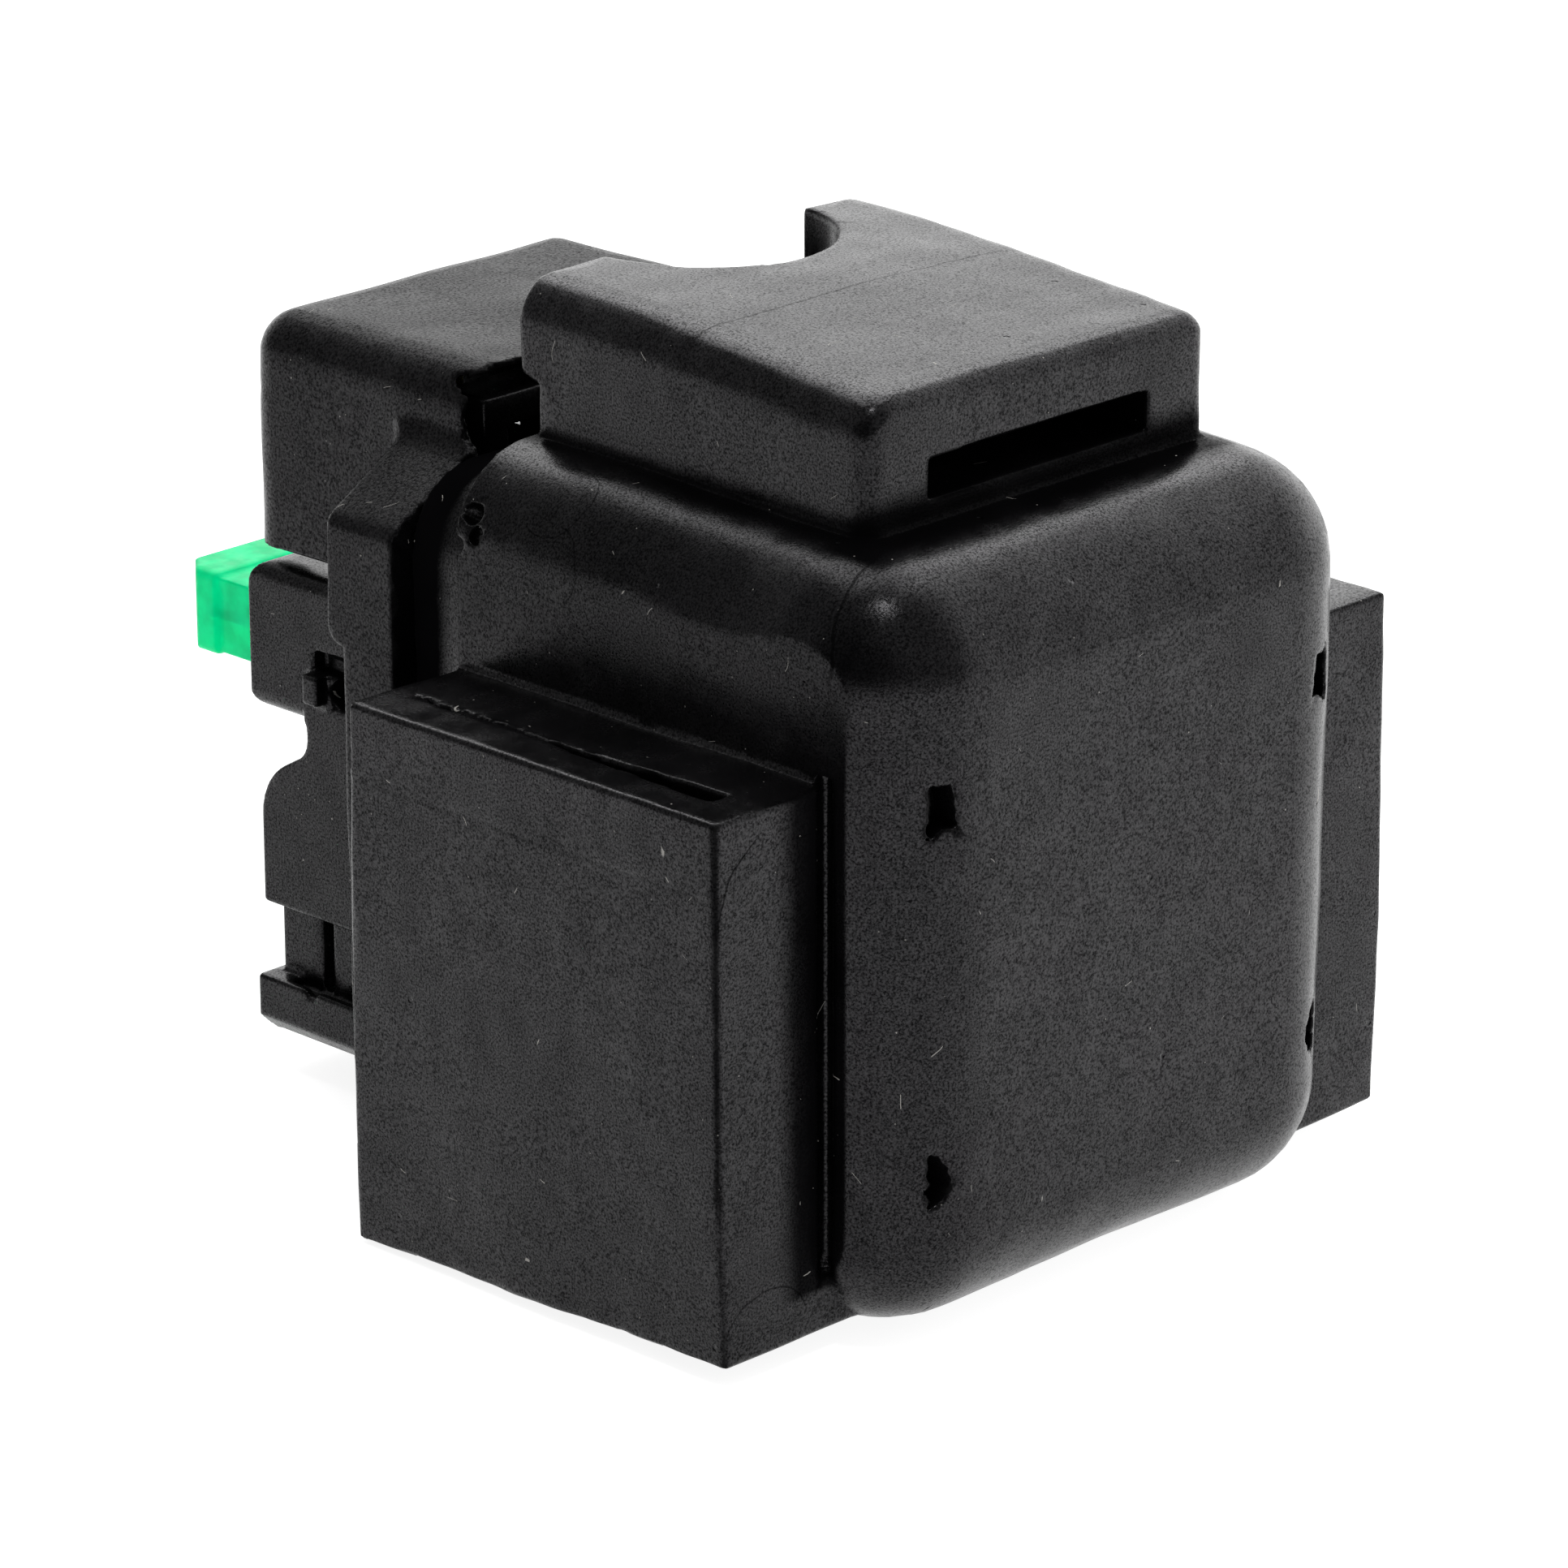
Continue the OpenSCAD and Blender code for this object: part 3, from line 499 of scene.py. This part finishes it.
def soft_copy(name, node, voxel, body, slot, change=None):
    """A CAD node's shape with its edges rounded as a mould leaves them."""
    lo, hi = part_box(node)
    field = Field(lo / MM, hi / MM, voxel).from_node(node).soften()
    if change:
        field.edit(change)
    return attach(field.mesh(name, 0.05), body, slot, node)


def housing_edges(p, d):
    """Bevels the socket's lower edges and rounds the fuse holder's long edges."""
    x, y, z = p
    slope = (np.abs(x) - z - (HOLDER_HALF - SOCKET_Z0 - SOCKET_BEVEL)) / math.sqrt(2)
    d = np.maximum(d, np.where((y < SOCKET_Y1) & (z < SOCKET_LOW), slope, -1))
    out = np.abs(x) - HOLDER_HALF + HOLDER_R
    upper = np.hypot(out, z - HOLDER_Z1 + HOLDER_R) - HOLDER_R
    lower = np.hypot(out, HOLDER_Z0 + HOLDER_R - z) - HOLDER_R
    near_top = (out > 0) & (z > HOLDER_Z1 - HOLDER_R) & (y < HOLDER_Y1)
    near_foot = (out > 0) & (z > HOLDER_Z0 - 0.2) & (z < HOLDER_Z0 + HOLDER_R) & (y < HOLDER_LOW_Y1)
    d = np.maximum(d, np.where(near_top, upper, -1))
    return np.maximum(d, np.where(near_foot, lower, -1))


# ---------------------------------------------------------------- springs

WIRE_R = 0.3


def coil_rise(turn, turns, low, high):
    """Height of a spring's wire after that many turns: the first and last turns lie closed."""
    closed = 2 * WIRE_R
    if turn < 1:
        return low + closed * turn
    if turn > turns - 1:
        return high - closed * (turns - turn)
    return low + closed + (high - low - 2 * closed) * (turn - 1) / (turns - 2)


def coil_mesh(name, lo, hi, turns):
    """Round wire wound along Y in the box from lo to hi."""
    steps, sides = int(turns * 32), 10
    middle_x, middle_z = (lo[0] + hi[0]) / 2, (lo[2] + hi[2]) / 2
    radius = (hi[0] - lo[0]) / 2 - WIRE_R
    verts, faces = [], []
    for i in range(steps + 1):
        turn = turns * i / steps
        rise = coil_rise(turn, turns, lo[1] + WIRE_R, hi[1] - WIRE_R)
        around = 2 * math.pi * turn
        for j in range(sides):
            bend = 2 * math.pi * j / sides
            out = radius + WIRE_R * math.cos(bend)
            x, z = middle_x + out * math.cos(around), middle_z + out * math.sin(around)
            verts.append([v * MM for v in (x, rise + WIRE_R * math.sin(bend), z)])
    for i in range(steps):
        for j in range(sides):
            a, b = i * sides + j, i * sides + (j + 1) % sides
            faces.append((a, b, b + sides, a + sides))
    faces.append(tuple(reversed(range(sides))))
    faces.append(tuple(range(steps * sides, (steps + 1) * sides)))
    made = bpy.data.meshes.new(name)
    made.from_pydata(verts, [], faces)
    made.shade_smooth()
    return made


def make_coil(name, node, turns):
    """Coil spring in a CAD node's place. It rides on the plunger."""
    lo, hi = (np.array(corner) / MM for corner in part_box(node))
    piece = bpy.data.objects.new(name, coil_mesh(name, lo, hi, turns))
    bpy.context.scene.collection.objects.link(piece)
    attach(piece, "armature", "spring_steel", node)
    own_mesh(piece)
    return piece


# ---------------------------------------------------------------- shader nodes

def add(tree, kind, inputs=(), **settings):
    """A shader node with its settings and inputs; an input that is a socket is linked."""
    node = tree.nodes.new("ShaderNode" + kind)
    for key, value in settings.items():
        setattr(node, key, value)
    for key, value in dict(inputs).items():
        if isinstance(value, bpy.types.NodeSocket):
            tree.links.new(value, node.inputs[key])
        else:
            node.inputs[key].default_value = value
    return node


def math_node(tree, operation, a, b=0.0, clamp=False):
    return add(tree, "Math", {0: a, 1: b}, operation=operation, use_clamp=clamp).outputs[0]


def times(tree, *values):
    """Product of two or more values."""
    product = values[0]
    for value in values[1:]:
        product = math_node(tree, "MULTIPLY", product, value)
    return product


def vector_node(tree, operation, **inputs):
    """Vector maths, with a and b as its two inputs."""
    keys = {"a": 0, "b": 1, "scale": "Scale"}
    node = add(tree, "VectorMath", {keys[k]: v for k, v in inputs.items()}, operation=operation)
    return node.outputs["Value" if operation in ("LENGTH", "DOT_PRODUCT") else "Vector"]


def ramp(tree, value, low, high, to_low=0.0, to_high=1.0):
    """value from low to high becomes to_low to to_high, smoothly."""
    inputs = {"Value": value, "From Min": low, "From Max": high, "To Min": to_low, "To Max": to_high}
    return add(tree, "MapRange", inputs, interpolation_type="SMOOTHSTEP").outputs["Result"]


def channel(tree, colour, index):
    return add(tree, "SeparateColor", {0: colour}).outputs[index]


def mix_colour(tree, share, a, b):
    return add(tree, "Mix", {0: share, 6: a, 7: b}, data_type="RGBA").outputs[2]


def shade(colour, by=1.0):
    """Colour with alpha 1, made darker or lighter by one factor or by one for each channel."""
    factors = by if isinstance(by, tuple) else (by, by, by)
    return (*[c * f for c, f in zip(colour, factors)], 1)


class Material:
    """A Principled material whose patterns are laid out in millimetres."""

    def __init__(self, name, **fixed):
        self.material = bpy.data.materials.new(name)
        self.material.use_nodes = True
        self.tree = self.material.node_tree
        self.shader = self.tree.nodes["Principled BSDF"]
        for key, value in fixed.items():
            self.shader.inputs[key.replace("_", " ")].default_value = value
        place = add(self.tree, "TexCoord").outputs["Object"]
        self.at = add(self.tree, "Mapping", {"Vector": place, "Scale": [1 / MM] * 3}).outputs[0]
        self.normal = None

    def noise(self, size, detail=2.0, roughness=0.5, stretch=None):
        """Soft pattern about size across."""
        at = self.at
        if stretch:
            at = add(self.tree, "Mapping", {"Vector": at, "Scale": stretch}).outputs[0]
        inputs = {"Vector": at, "Scale": 1 / size, "Detail": detail, "Roughness": roughness}
        return add(self.tree, "TexNoise", inputs).outputs["Fac"]

    def cells(self, size):
        """Random cells about size across, with the distance to each one's middle and its random colour."""
        return add(self.tree, "TexVoronoi", {"Vector": self.at, "Scale": 1 / size}).outputs

    def bump(self, height, depth_mm):
        """Adds relief to the relief that is there already."""
        inputs = {"Height": height, "Distance": depth_mm * MM}
        if self.normal:
            inputs["Normal"] = self.normal
        self.normal = add(self.tree, "Bump", inputs).outputs[0]
        self.tree.links.new(self.normal, self.shader.inputs["Normal"])

    def link(self, value, socket):
        self.tree.links.new(value, self.shader.inputs[socket])


def dress(piece, material):
    piece.data.materials.clear()
    piece.data.materials.append(material)


# ---------------------------------------------------------------- materials

GREYED = (0.014, 0.014, 0.014, 1)
DUST = (0.30, 0.29, 0.27, 1)


def stray_white(m):
    """Mask of dust and short fibres."""
    t = m.tree
    # specks: one cell in six holds one, larger where its random value is higher
    speck = m.cells(0.9)
    room = math_node(t, "SUBTRACT", channel(t, speck["Color"], 0), 0.84)
    specks = math_node(t, "GREATER_THAN", times(t, room, 0.42), speck["Distance"])
    # fine dust: small faint dots in one cell in seventy
    fine = m.cells(0.33)
    picked = math_node(t, "GREATER_THAN", channel(t, fine["Color"], 1), 0.985)
    dots = times(t, picked, math_node(t, "LESS_THAN", fine["Distance"], 0.15), 0.5)
    # fibres: thin level lines of one noise, kept only where another is high
    line = math_node(t, "ABSOLUTE", math_node(t, "SUBTRACT", m.noise(3.1, 0.5), 0.5))
    kept = ramp(t, m.noise(1.4, 0.0), 0.755, 0.775)
    fibres = times(t, math_node(t, "LESS_THAN", line, 0.0035), kept)
    return math_node(t, "MAXIMUM", math_node(t, "MAXIMUM", specks, dots), fibres)


def hairline_and_shade(m, centre, mask, lo, hi, width, left, radius=0.0):
    """Factor that drops to `left` in a line where a sphere, tube or plane crosses the surface inside a box. The
    mask picks the axes that count, and width is about half the line's own. A narrow one is a hairline in the
    skin; a wide one is a band of painted shade."""
    t = m.tree
    wander = 0.5
    drift = wander / 2  # the noise's middle value is a half
    noise = add(t, "TexNoise", {"Vector": m.at, "Scale": 0.5, "Detail": 3}).outputs["Color"]
    at = vector_node(t, "ADD", a=m.at, b=vector_node(t, "SCALE", a=noise, scale=wander))
    away = vector_node(t, "SUBTRACT", a=at, b=[c + drift for c in centre])
    away = vector_node(t, "MULTIPLY", a=away, b=mask)
    off = math_node(t, "ABSOLUTE", math_node(t, "SUBTRACT", vector_node(t, "LENGTH", a=away), radius))
    above = vector_node(t, "SUBTRACT", a=m.at, b=lo)
    below = vector_node(t, "SUBTRACT", a=hi, b=m.at)
    parts = add(t, "SeparateXYZ", {0: vector_node(t, "MINIMUM", a=above, b=below)}).outputs
    room = math_node(t, "MINIMUM", math_node(t, "MINIMUM", parts[0], parts[1]), parts[2])
    line = times(t, ramp(t, off, width * 0.5, width * 1.3, 1.0, 0.0), ramp(t, room, 0.0, 0.6))
    return math_node(t, "SUBTRACT", 1.0, times(t, line, 1.0 - left))


def moulded_sheen(m, grain, edge, patches, shine, top, marks_and_shade):
    """How much the skin mirrors: less in the grain's hollows; less on convex edges and upward faces, which is
    painted shade that dims the highlights they catch; and less along the listed lines and bands.
    """
    t = m.tree
    sheen = ramp(t, grain, 0.30, 0.70, 0.04 * shine, 0.52 * shine)
    up = add(t, "SeparateXYZ", {0: add(t, "NewGeometry").outputs["Normal"]}).outputs[2]
    # painted shade: upward faces keep only top of their sheen, and convex edges about a fifth of it, which dims
    # their highlights
    sheen = times(t, sheen, ramp(t, patches, 0.3, 0.7, 0.88, 1.12), ramp(t, up, 0.70, 0.97, 1.0, top),
                  ramp(t, edge, 0.25, 0.9, 1.0, 0.22))
    # each thin line is a hairline in the skin; each wide band is painted shade
    for mark_or_shade in marks_and_shade:
        sheen = times(t, sheen, hairline_and_shade(m, **mark_or_shade))
    return sheen


def moulded_relief(m, grain, white, depth, pits):
    """Slow unevenness, grain, pits and dust."""
    t = m.tree
    m.bump(m.noise(7, 2), 0.10)
    m.bump(grain, depth)
    hole = m.cells(3.4)
    kept = math_node(t, "GREATER_THAN", channel(t, hole["Color"], 2), 0.62)
    pit = times(t, ramp(t, hole["Distance"], 0.03, 0.07, 1.0, 0.0), kept)
    m.bump(times(t, pit, -pits), 0.15)
    m.bump(white, 0.03)


def moulded(name, colour, rough, grain_size, depth, dust=1.0, pits=1.0, shine=1.0, top=1.0, marks_and_shade=()):
    """Black rubber or plastic: fine grain, clouded gloss, pits, white dust and fibres, and greyed edges, with
    painted shade in its sheen on convex edges and upward faces.
    """
    m = Material(name)
    t = m.tree
    cloud = m.noise(9, 3)
    patches = m.noise(2.2, 4, 0.6)
    grain = m.noise(grain_size, 2, 0.65)
    edge = add(t, "Attribute", attribute_name="edge").outputs["Fac"]
    worn = times(t, ramp(t, edge, 0.25, 1.2), ramp(t, patches, 0.42, 0.62, 0.1, 1.0), 0.5)
    white = math_node(t, "MULTIPLY", stray_white(m), dust, clamp=True)
    base = mix_colour(t, ramp(t, cloud, 0.35, 0.65), shade(colour, 0.7), shade(colour, 1.3))
    base = mix_colour(t, worn, base, GREYED)
    m.link(mix_colour(t, white, base, DUST), "Base Color")
    gloss = ramp(t, patches, 0.3, 0.7, rough - 0.05, rough + 0.05)
    m.link(math_node(t, "ADD", gloss, times(t, white, 0.3)), "Roughness")
    m.link(moulded_sheen(m, grain, edge, patches, shine, top, marks_and_shade), "Specular IOR Level")
    m.link(mix_colour(t, cloud, (0.96, 0.96, 1.0, 1), (1.0, 0.96, 1.0, 1)), "Specular Tint")
    moulded_relief(m, grain, white, depth, pits)
    return m.material


def metal(name, colour, rough, brushed=(1, 1, 1)):
    """Plated or bare metal with fine drawing lines, dull patches and small dark stains."""
    m = Material(name, Metallic=1.0)
    t = m.tree
    patches = m.noise(2.5, 4, 0.6)
    base = mix_colour(t, ramp(t, patches, 0.35, 0.7), shade(colour), shade(colour, (0.78, 0.76, 0.74)))
    stains = times(t, ramp(t, m.noise(0.7, 3, 0.7), 0.66, 0.74), 0.6)
    m.link(mix_colour(t, stains, base, shade(colour, (0.3, 0.25, 0.2))), "Base Color")
    m.link(ramp(t, patches, 0.3, 0.7, rough - 0.07, rough + 0.10), "Roughness")
    m.bump(m.noise(0.12, 2, 0.6, brushed), 0.004)
    m.bump(m.noise(1.8, 3), 0.02)
    return m.material


def plain_plastic(name, colour, rough):
    """Coloured moulded plastic with a faint grain and clouded gloss."""
    m = Material(name, Specular_IOR_Level=0.4)
    t = m.tree
    patches = m.noise(3, 3)
    m.link(mix_colour(t, ramp(t, patches, 0.3, 0.7), shade(colour, 0.9), shade(colour)), "Base Color")
    m.link(ramp(t, patches, 0.3, 0.7, rough - 0.05, rough + 0.08), "Roughness")
    m.bump(m.noise(0.3, 2), 0.008)
    return m.material


def wound_wire(name, colour, pitch):
    """Enamelled wire: fine turns that repeat along Y after each pitch."""
    m = Material(name, Metallic=0.6)
    t = m.tree
    inputs = {"Vector": m.at, "Scale": 0.314 / pitch, "Distortion": 0.15, "Detail": 1.0}
    wave = add(t, "TexWave", inputs, wave_type="BANDS", bands_direction="Y").outputs["Fac"]
    m.link(mix_colour(t, wave, shade(colour, 0.35), shade(colour)), "Base Color")
    m.link(ramp(t, m.noise(2, 3), 0.3, 0.7, 0.22, 0.42), "Roughness")
    m.bump(wave, pitch * 0.3)
    return m.material


def clear_green():
    """Translucent green of a 30 A blade fuse, with a faint painted glow: an emission that stands in for the
    light passing through it.
    """
    # the emission is a painted glow; the fuse is no lamp
    m = Material("fuse_green", Transmission_Weight=0.5, IOR=1.25, Specular_IOR_Level=0.4,
                 Specular_Tint=(0.05, 1.0, 0.5, 1), Emission_Color=(0.0, 0.55, 0.20, 1),
                 Emission_Strength=0.10)
    t = m.tree
    patches = ramp(t, m.noise(1.8, 3), 0.3, 0.7)
    m.link(mix_colour(t, patches, (0.0, 0.62, 0.24, 1), (0.0, 0.88, 0.38, 1)), "Base Color")
    m.link(ramp(t, m.noise(0.8, 4), 0.3, 0.7, 0.36, 0.50), "Roughness")
    m.bump(m.noise(1.4, 2), 0.03)
    m.bump(m.noise(0.15, 2), 0.003)
    return m.material


# Marks in the boot's sheen: each is a line or band inside the box from lo to hi. The thin ones are the boot's
# own hairlines and creases; the collar, shoulder, slit and corner bands are painted shade, drawn as less
# reflection.
ALONG_X, ALONG_Y, ALONG_Z = (1, 0, 0), (0, 1, 0), (0, 0, 1)  # distance measured along one axis: a plane
ROUND_X, ROUND_Y, ROUND_Z = (0, 1, 1), (1, 0, 1), (1, 1, 0)  # distance measured round an axis: a line or tube
ROUND = (1, 1, 1)

BOOT_MARKS_AND_SHADE = [
    # scratches low and high on the +X block's rear face
    dict(centre=(23.2, 0, 1.6), mask=ROUND_Y, radius=3.25, lo=(19.9, 27.5, 1.7), hi=(26.6, 29, 6),
         width=0.06, left=0.3),
    dict(centre=(20.7, 0, 25.1), mask=ROUND_Y, radius=6.1, lo=(23.4, 27.5, 24.8), hi=(27, 29, 31.5),
         width=0.06, left=0.2),
    # that block's upright rear edge, and the ledge along its side
    dict(centre=(26.9, 28.1, 0), mask=ROUND_Z, lo=(25, 26, 0.5), hi=(28, 29, 32), width=0.35, left=0.3),
    dict(centre=(0, 0, 27.4), mask=ALONG_Z, lo=(26, 0, 26), hi=(28, 29, 29), width=0.15, left=0.75),
    # crease round the upper rear corner, and two curls near the +X shoulder's front
    dict(centre=(12.5, 32, 38), mask=ROUND, radius=7.1, lo=(12.8, 24, 37.5), hi=(20, 31.5, 45),
         width=0.07, left=0.3),
    dict(centre=(17.2, 6.5, 42.6), mask=ROUND, radius=2.4, lo=(12, 5.0, 40), hi=(19, 12, 44),
         width=0.05, left=0.4),
    dict(centre=(17.9, 7.6, 39.0), mask=ROUND, radius=2.2, lo=(14, 7.5, 37), hi=(20, 12, 42),
         width=0.05, left=0.4),
    # faint lines across the top block and the closed end
    dict(centre=(0, 12.0, 0), mask=ALONG_Y, lo=(-12, 10, 50), hi=(12.5, 14, 53), width=0.08, left=0.4),
    dict(centre=(0, 0, 37.3), mask=ALONG_Z, lo=(-13, 32.5, 36), hi=(12.5, 34, 38.5), width=0.3, left=0.85),
    # painted shade: the collar in the cover's shade, the +X shoulder with its reflection dimmed, and the slit's
    # lips, whose lit edges it hides
    dict(centre=(0, -3.4, 0), mask=ALONG_Y, lo=(-30, -9, -9), hi=(30, 3, 60), width=2.2, left=0.0),
    dict(centre=(18.5, 0, 39), mask=ROUND_Y, lo=(9, -3, 31.5), hi=(20, 30, 47), width=7.0, left=0.62),
    dict(centre=(23.7, 0, 0), mask=ALONG_X, lo=(21, 2, 31), hi=(26, 26, 33), width=0.5, left=0.15),
    # painted shade in the inner corners: behind the +X block, and behind and beside the top block
    dict(centre=(19.4, 0, 0), mask=ALONG_X, lo=(15, 27.6, 3.2), hi=(27, 29, 32.6), width=2.6, left=0.05),
    dict(centre=(0, 25.9, 43.3), mask=ROUND_X, lo=(-15, 20, 38), hi=(15, 32, 47), width=2.0, left=0.05),
    dict(centre=(13.1, 0, 43.2), mask=ROUND_Y, lo=(10, -2, 38), hi=(18, 27, 47), width=1.2, left=0.10),
]

RUBBER_BLACK = (0.0022, 0.0021, 0.0024)
HOUSING_BLACK = (0.0022, 0.0022, 0.0023)
COVER_BLACK = (0.0024, 0.0023, 0.0026)
CASE_BLACK = (0.0025, 0.0025, 0.0025)
COPPER = (0.78, 0.40, 0.24)
BRASS_PLATE = (0.78, 0.66, 0.36)
ZINC = (0.70, 0.71, 0.72)
STEEL = (0.50, 0.51, 0.53)


# ---------------------------------------------------------------- the object

boot = make_boot()
dress(boot, moulded("boot_rubber", RUBBER_BLACK, 0.24, 0.13, 0.010, shine=0.78, marks_and_shade=BOOT_MARKS_AND_SHADE))

housing = soft_copy("housing", "front_housing", 0.14, "relay", "housing_plastic", housing_edges)
dress(housing, moulded("housing_plastic", HOUSING_BLACK, 0.25, 0.13, 0.010, dust=0.8, pits=0.3, shine=0.65))

cover = make_cover()
# top=0.30 paints shade on the cover's upward faces by dimming their sheen
dress(cover, moulded("cover_vinyl", COVER_BLACK, 0.27, 0.16, 0.016, dust=0.8, shine=0.50, top=0.30))

fuse = soft_copy("fuse", "fuse_body", 0.12, "fuse", "fuse_plastic")
dress(fuse, clear_green())

for name, material in {
    "relay_case": moulded("case_plastic", CASE_BLACK, 0.35, 0.12, 0.008, dust=0.3, pits=0.0),
    "case_gasket": plain_plastic("gasket_rubber", (0.03, 0.028, 0.027), 0.6),
    "moving_contact": metal("copper_strip", COPPER, 0.30, (1, 8, 1)),
    "battery_stud": metal("stud_plate", BRASS_PLATE, 0.28),
    "flat_washers": metal("zinc_plate", ZINC, 0.26),
    "rod_clip": metal("spring_wire", STEEL, 0.25),
    "push_rod": metal("rod_steel", (0.74, 0.73, 0.70), 0.18),
    "plunger": metal("soft_iron", STEEL, 0.32),
    "guide_sleeve": metal("sleeve_brass", (0.72, 0.58, 0.28), 0.25),
    "bobbin": plain_plastic("bobbin_nylon", (0.72, 0.68, 0.56), 0.45),
    "coil_winding": wound_wire("winding_wire", (0.62, 0.24, 0.10), 0.25),
    "winding_tape": plain_plastic("winding_tape", (0.62, 0.44, 0.07), 0.25),
    "coil_pin_feed": metal("tinned_brass", (0.74, 0.70, 0.60), 0.28),
    "coil_lead_feed": wound_wire("lead_enamel", (0.55, 0.20, 0.08), 0.4),
    "fuse_link": metal("fuse_zinc", (0.66, 0.67, 0.68), 0.30),
}.items():
    dress(nodes[name], material)

for name, like in {
    "battery_bar": "moving_contact",
    "motor_bar": "moving_contact",
    "motor_stud": "battery_stud",
    "spring_washers": "flat_washers",
    "stud_nuts": "flat_washers",
    "fixed_core": "plunger",
    "pole_plate": "plunger",
    "yoke_frame": "plunger",
    "coil_pin_return": "coil_pin_feed",
    "coil_lead_return": "coil_lead_feed",
    "fuse_feed_clip": "coil_pin_feed",
    "fuse_output_strap": "coil_pin_feed",
}.items():
    dress(nodes[name], nodes[like].data.materials[0])

for name, node, turns, shorter in (("return_coil", "return_spring", 7.5, 2.0),
                                   ("contact_coil", "contact_spring", 4.0, 0.5)):
    dress(make_coil(name, node, turns), nodes["rod_clip"].data.materials[0])


# ---------------------------------------------------------------- floor, light and camera

FLOOR_HALF_M = 3.0
BRIGHT_WAY = (-0.95, -0.31, 0.0)  # towards the studio's brightest wall, across from the camera
AIM_M = Vector((0, 0, 0.025))
CAMERA_AZIMUTH, CAMERA_ELEVATION, CAMERA_ROLL = 134.52, 19.77, -0.15
CAMERA_PLACE_M = Vector((0.27945, 0.28151, 0.16265))
CAMERA_LENS = 171.06


def towards(azimuth, elevation):
    """Unit vector from the object towards a view, both in degrees: azimuth 0 is the front, and 90 is +X."""
    a, e = math.radians(azimuth), math.radians(elevation)
    return Vector((math.sin(a) * math.cos(e), -math.cos(a) * math.cos(e), math.sin(e)))


def make_floor():
    """Light table: a pale floor that glows, more towards the object's rear and -X."""
    made = bpy.data.meshes.new("floor")
    corners = [(-1, -1), (1, -1), (1, 1), (-1, 1)]
    made.from_pydata([(x * FLOOR_HALF_M, y * FLOOR_HALF_M, 0) for x, y in corners], [], [(0, 1, 2, 3)])
    floor = bpy.data.objects.new("floor", made)
    bpy.context.scene.collection.objects.link(floor)
    m = Material("floor_light_table", Roughness=0.9, Specular_IOR_Level=0.1, Emission_Color=(1, 1, 1, 1))
    t = m.tree
    m.link(mix_colour(t, m.noise(120, 2), (0.42, 0.42, 0.42, 1), (0.45, 0.45, 0.45, 1)), "Base Color")
    across = vector_node(t, "DOT_PRODUCT", a=m.at, b=(-0.7, 0.7, 0.0))
    m.link(ramp(t, across, -140, 140, 0.74, 1.04), "Emission Strength")
    dress(floor, m.material)


def softbox(name, azimuth, elevation, distance_m, size_m, power):
    """Square area light that looks at the object's middle."""
    way = towards(azimuth, elevation)
    data = bpy.data.lights.new(name, "AREA")
    data.size, data.energy = size_m, power
    lamp = bpy.data.objects.new(name, data)
    lamp.location = AIM_M + way * distance_m
    lamp.rotation_euler = (-way).to_track_quat("-Z", "Y").to_euler()
    bpy.context.scene.collection.objects.link(lamp)


def make_world(dim, middle, bright):
    """White studio that is brightest on the -X side and darkest on the +X side, where the camera stands."""
    world = bpy.data.worlds.new("studio")
    bpy.context.scene.world = world
    world.use_nodes = True
    t = world.node_tree
    way = vector_node(t, "DOT_PRODUCT", a=add(t, "TexCoord").outputs["Generated"], b=BRIGHT_WAY)
    near = ramp(t, way, -0.90, -0.50, dim, middle)
    far = ramp(t, way, -0.15, 0.85, 0.0, bright - middle)
    t.links.new(math_node(t, "ADD", near, far), t.nodes["Background"].inputs["Strength"])
    t.nodes["Background"].inputs["Color"].default_value = (1, 1, 1, 1)


def make_camera():
    """Camera at the photo's viewing angle: behind the object, to its +X side and a little above."""
    back = towards(CAMERA_AZIMUTH, CAMERA_ELEVATION)
    azimuth = math.radians(CAMERA_AZIMUTH)
    level = Vector((math.cos(azimuth), math.sin(azimuth), 0))
    right = Matrix.Rotation(math.radians(CAMERA_ROLL), 3, back) @ level
    data = bpy.data.cameras.new("camera")
    data.lens, data.sensor_width = CAMERA_LENS, 36.0
    data.clip_start, data.clip_end = 0.01, 20
    camera = bpy.data.objects.new("camera", data)
    place = Matrix((right, back.cross(right), back)).transposed().to_4x4()
    place.translation = CAMERA_PLACE_M
    camera.matrix_world = place
    bpy.context.scene.collection.objects.link(camera)
    bpy.context.scene.camera = camera


make_floor()
make_world(dim=0.05, middle=0.40, bright=2.0)
softbox("overhead", 315, 60, 0.5, 0.45, 1.6)
softbox("dome", 130, 74, 0.5, 0.06, 0.35)
make_camera()
bpy.context.scene.view_settings.view_transform = "Standard"
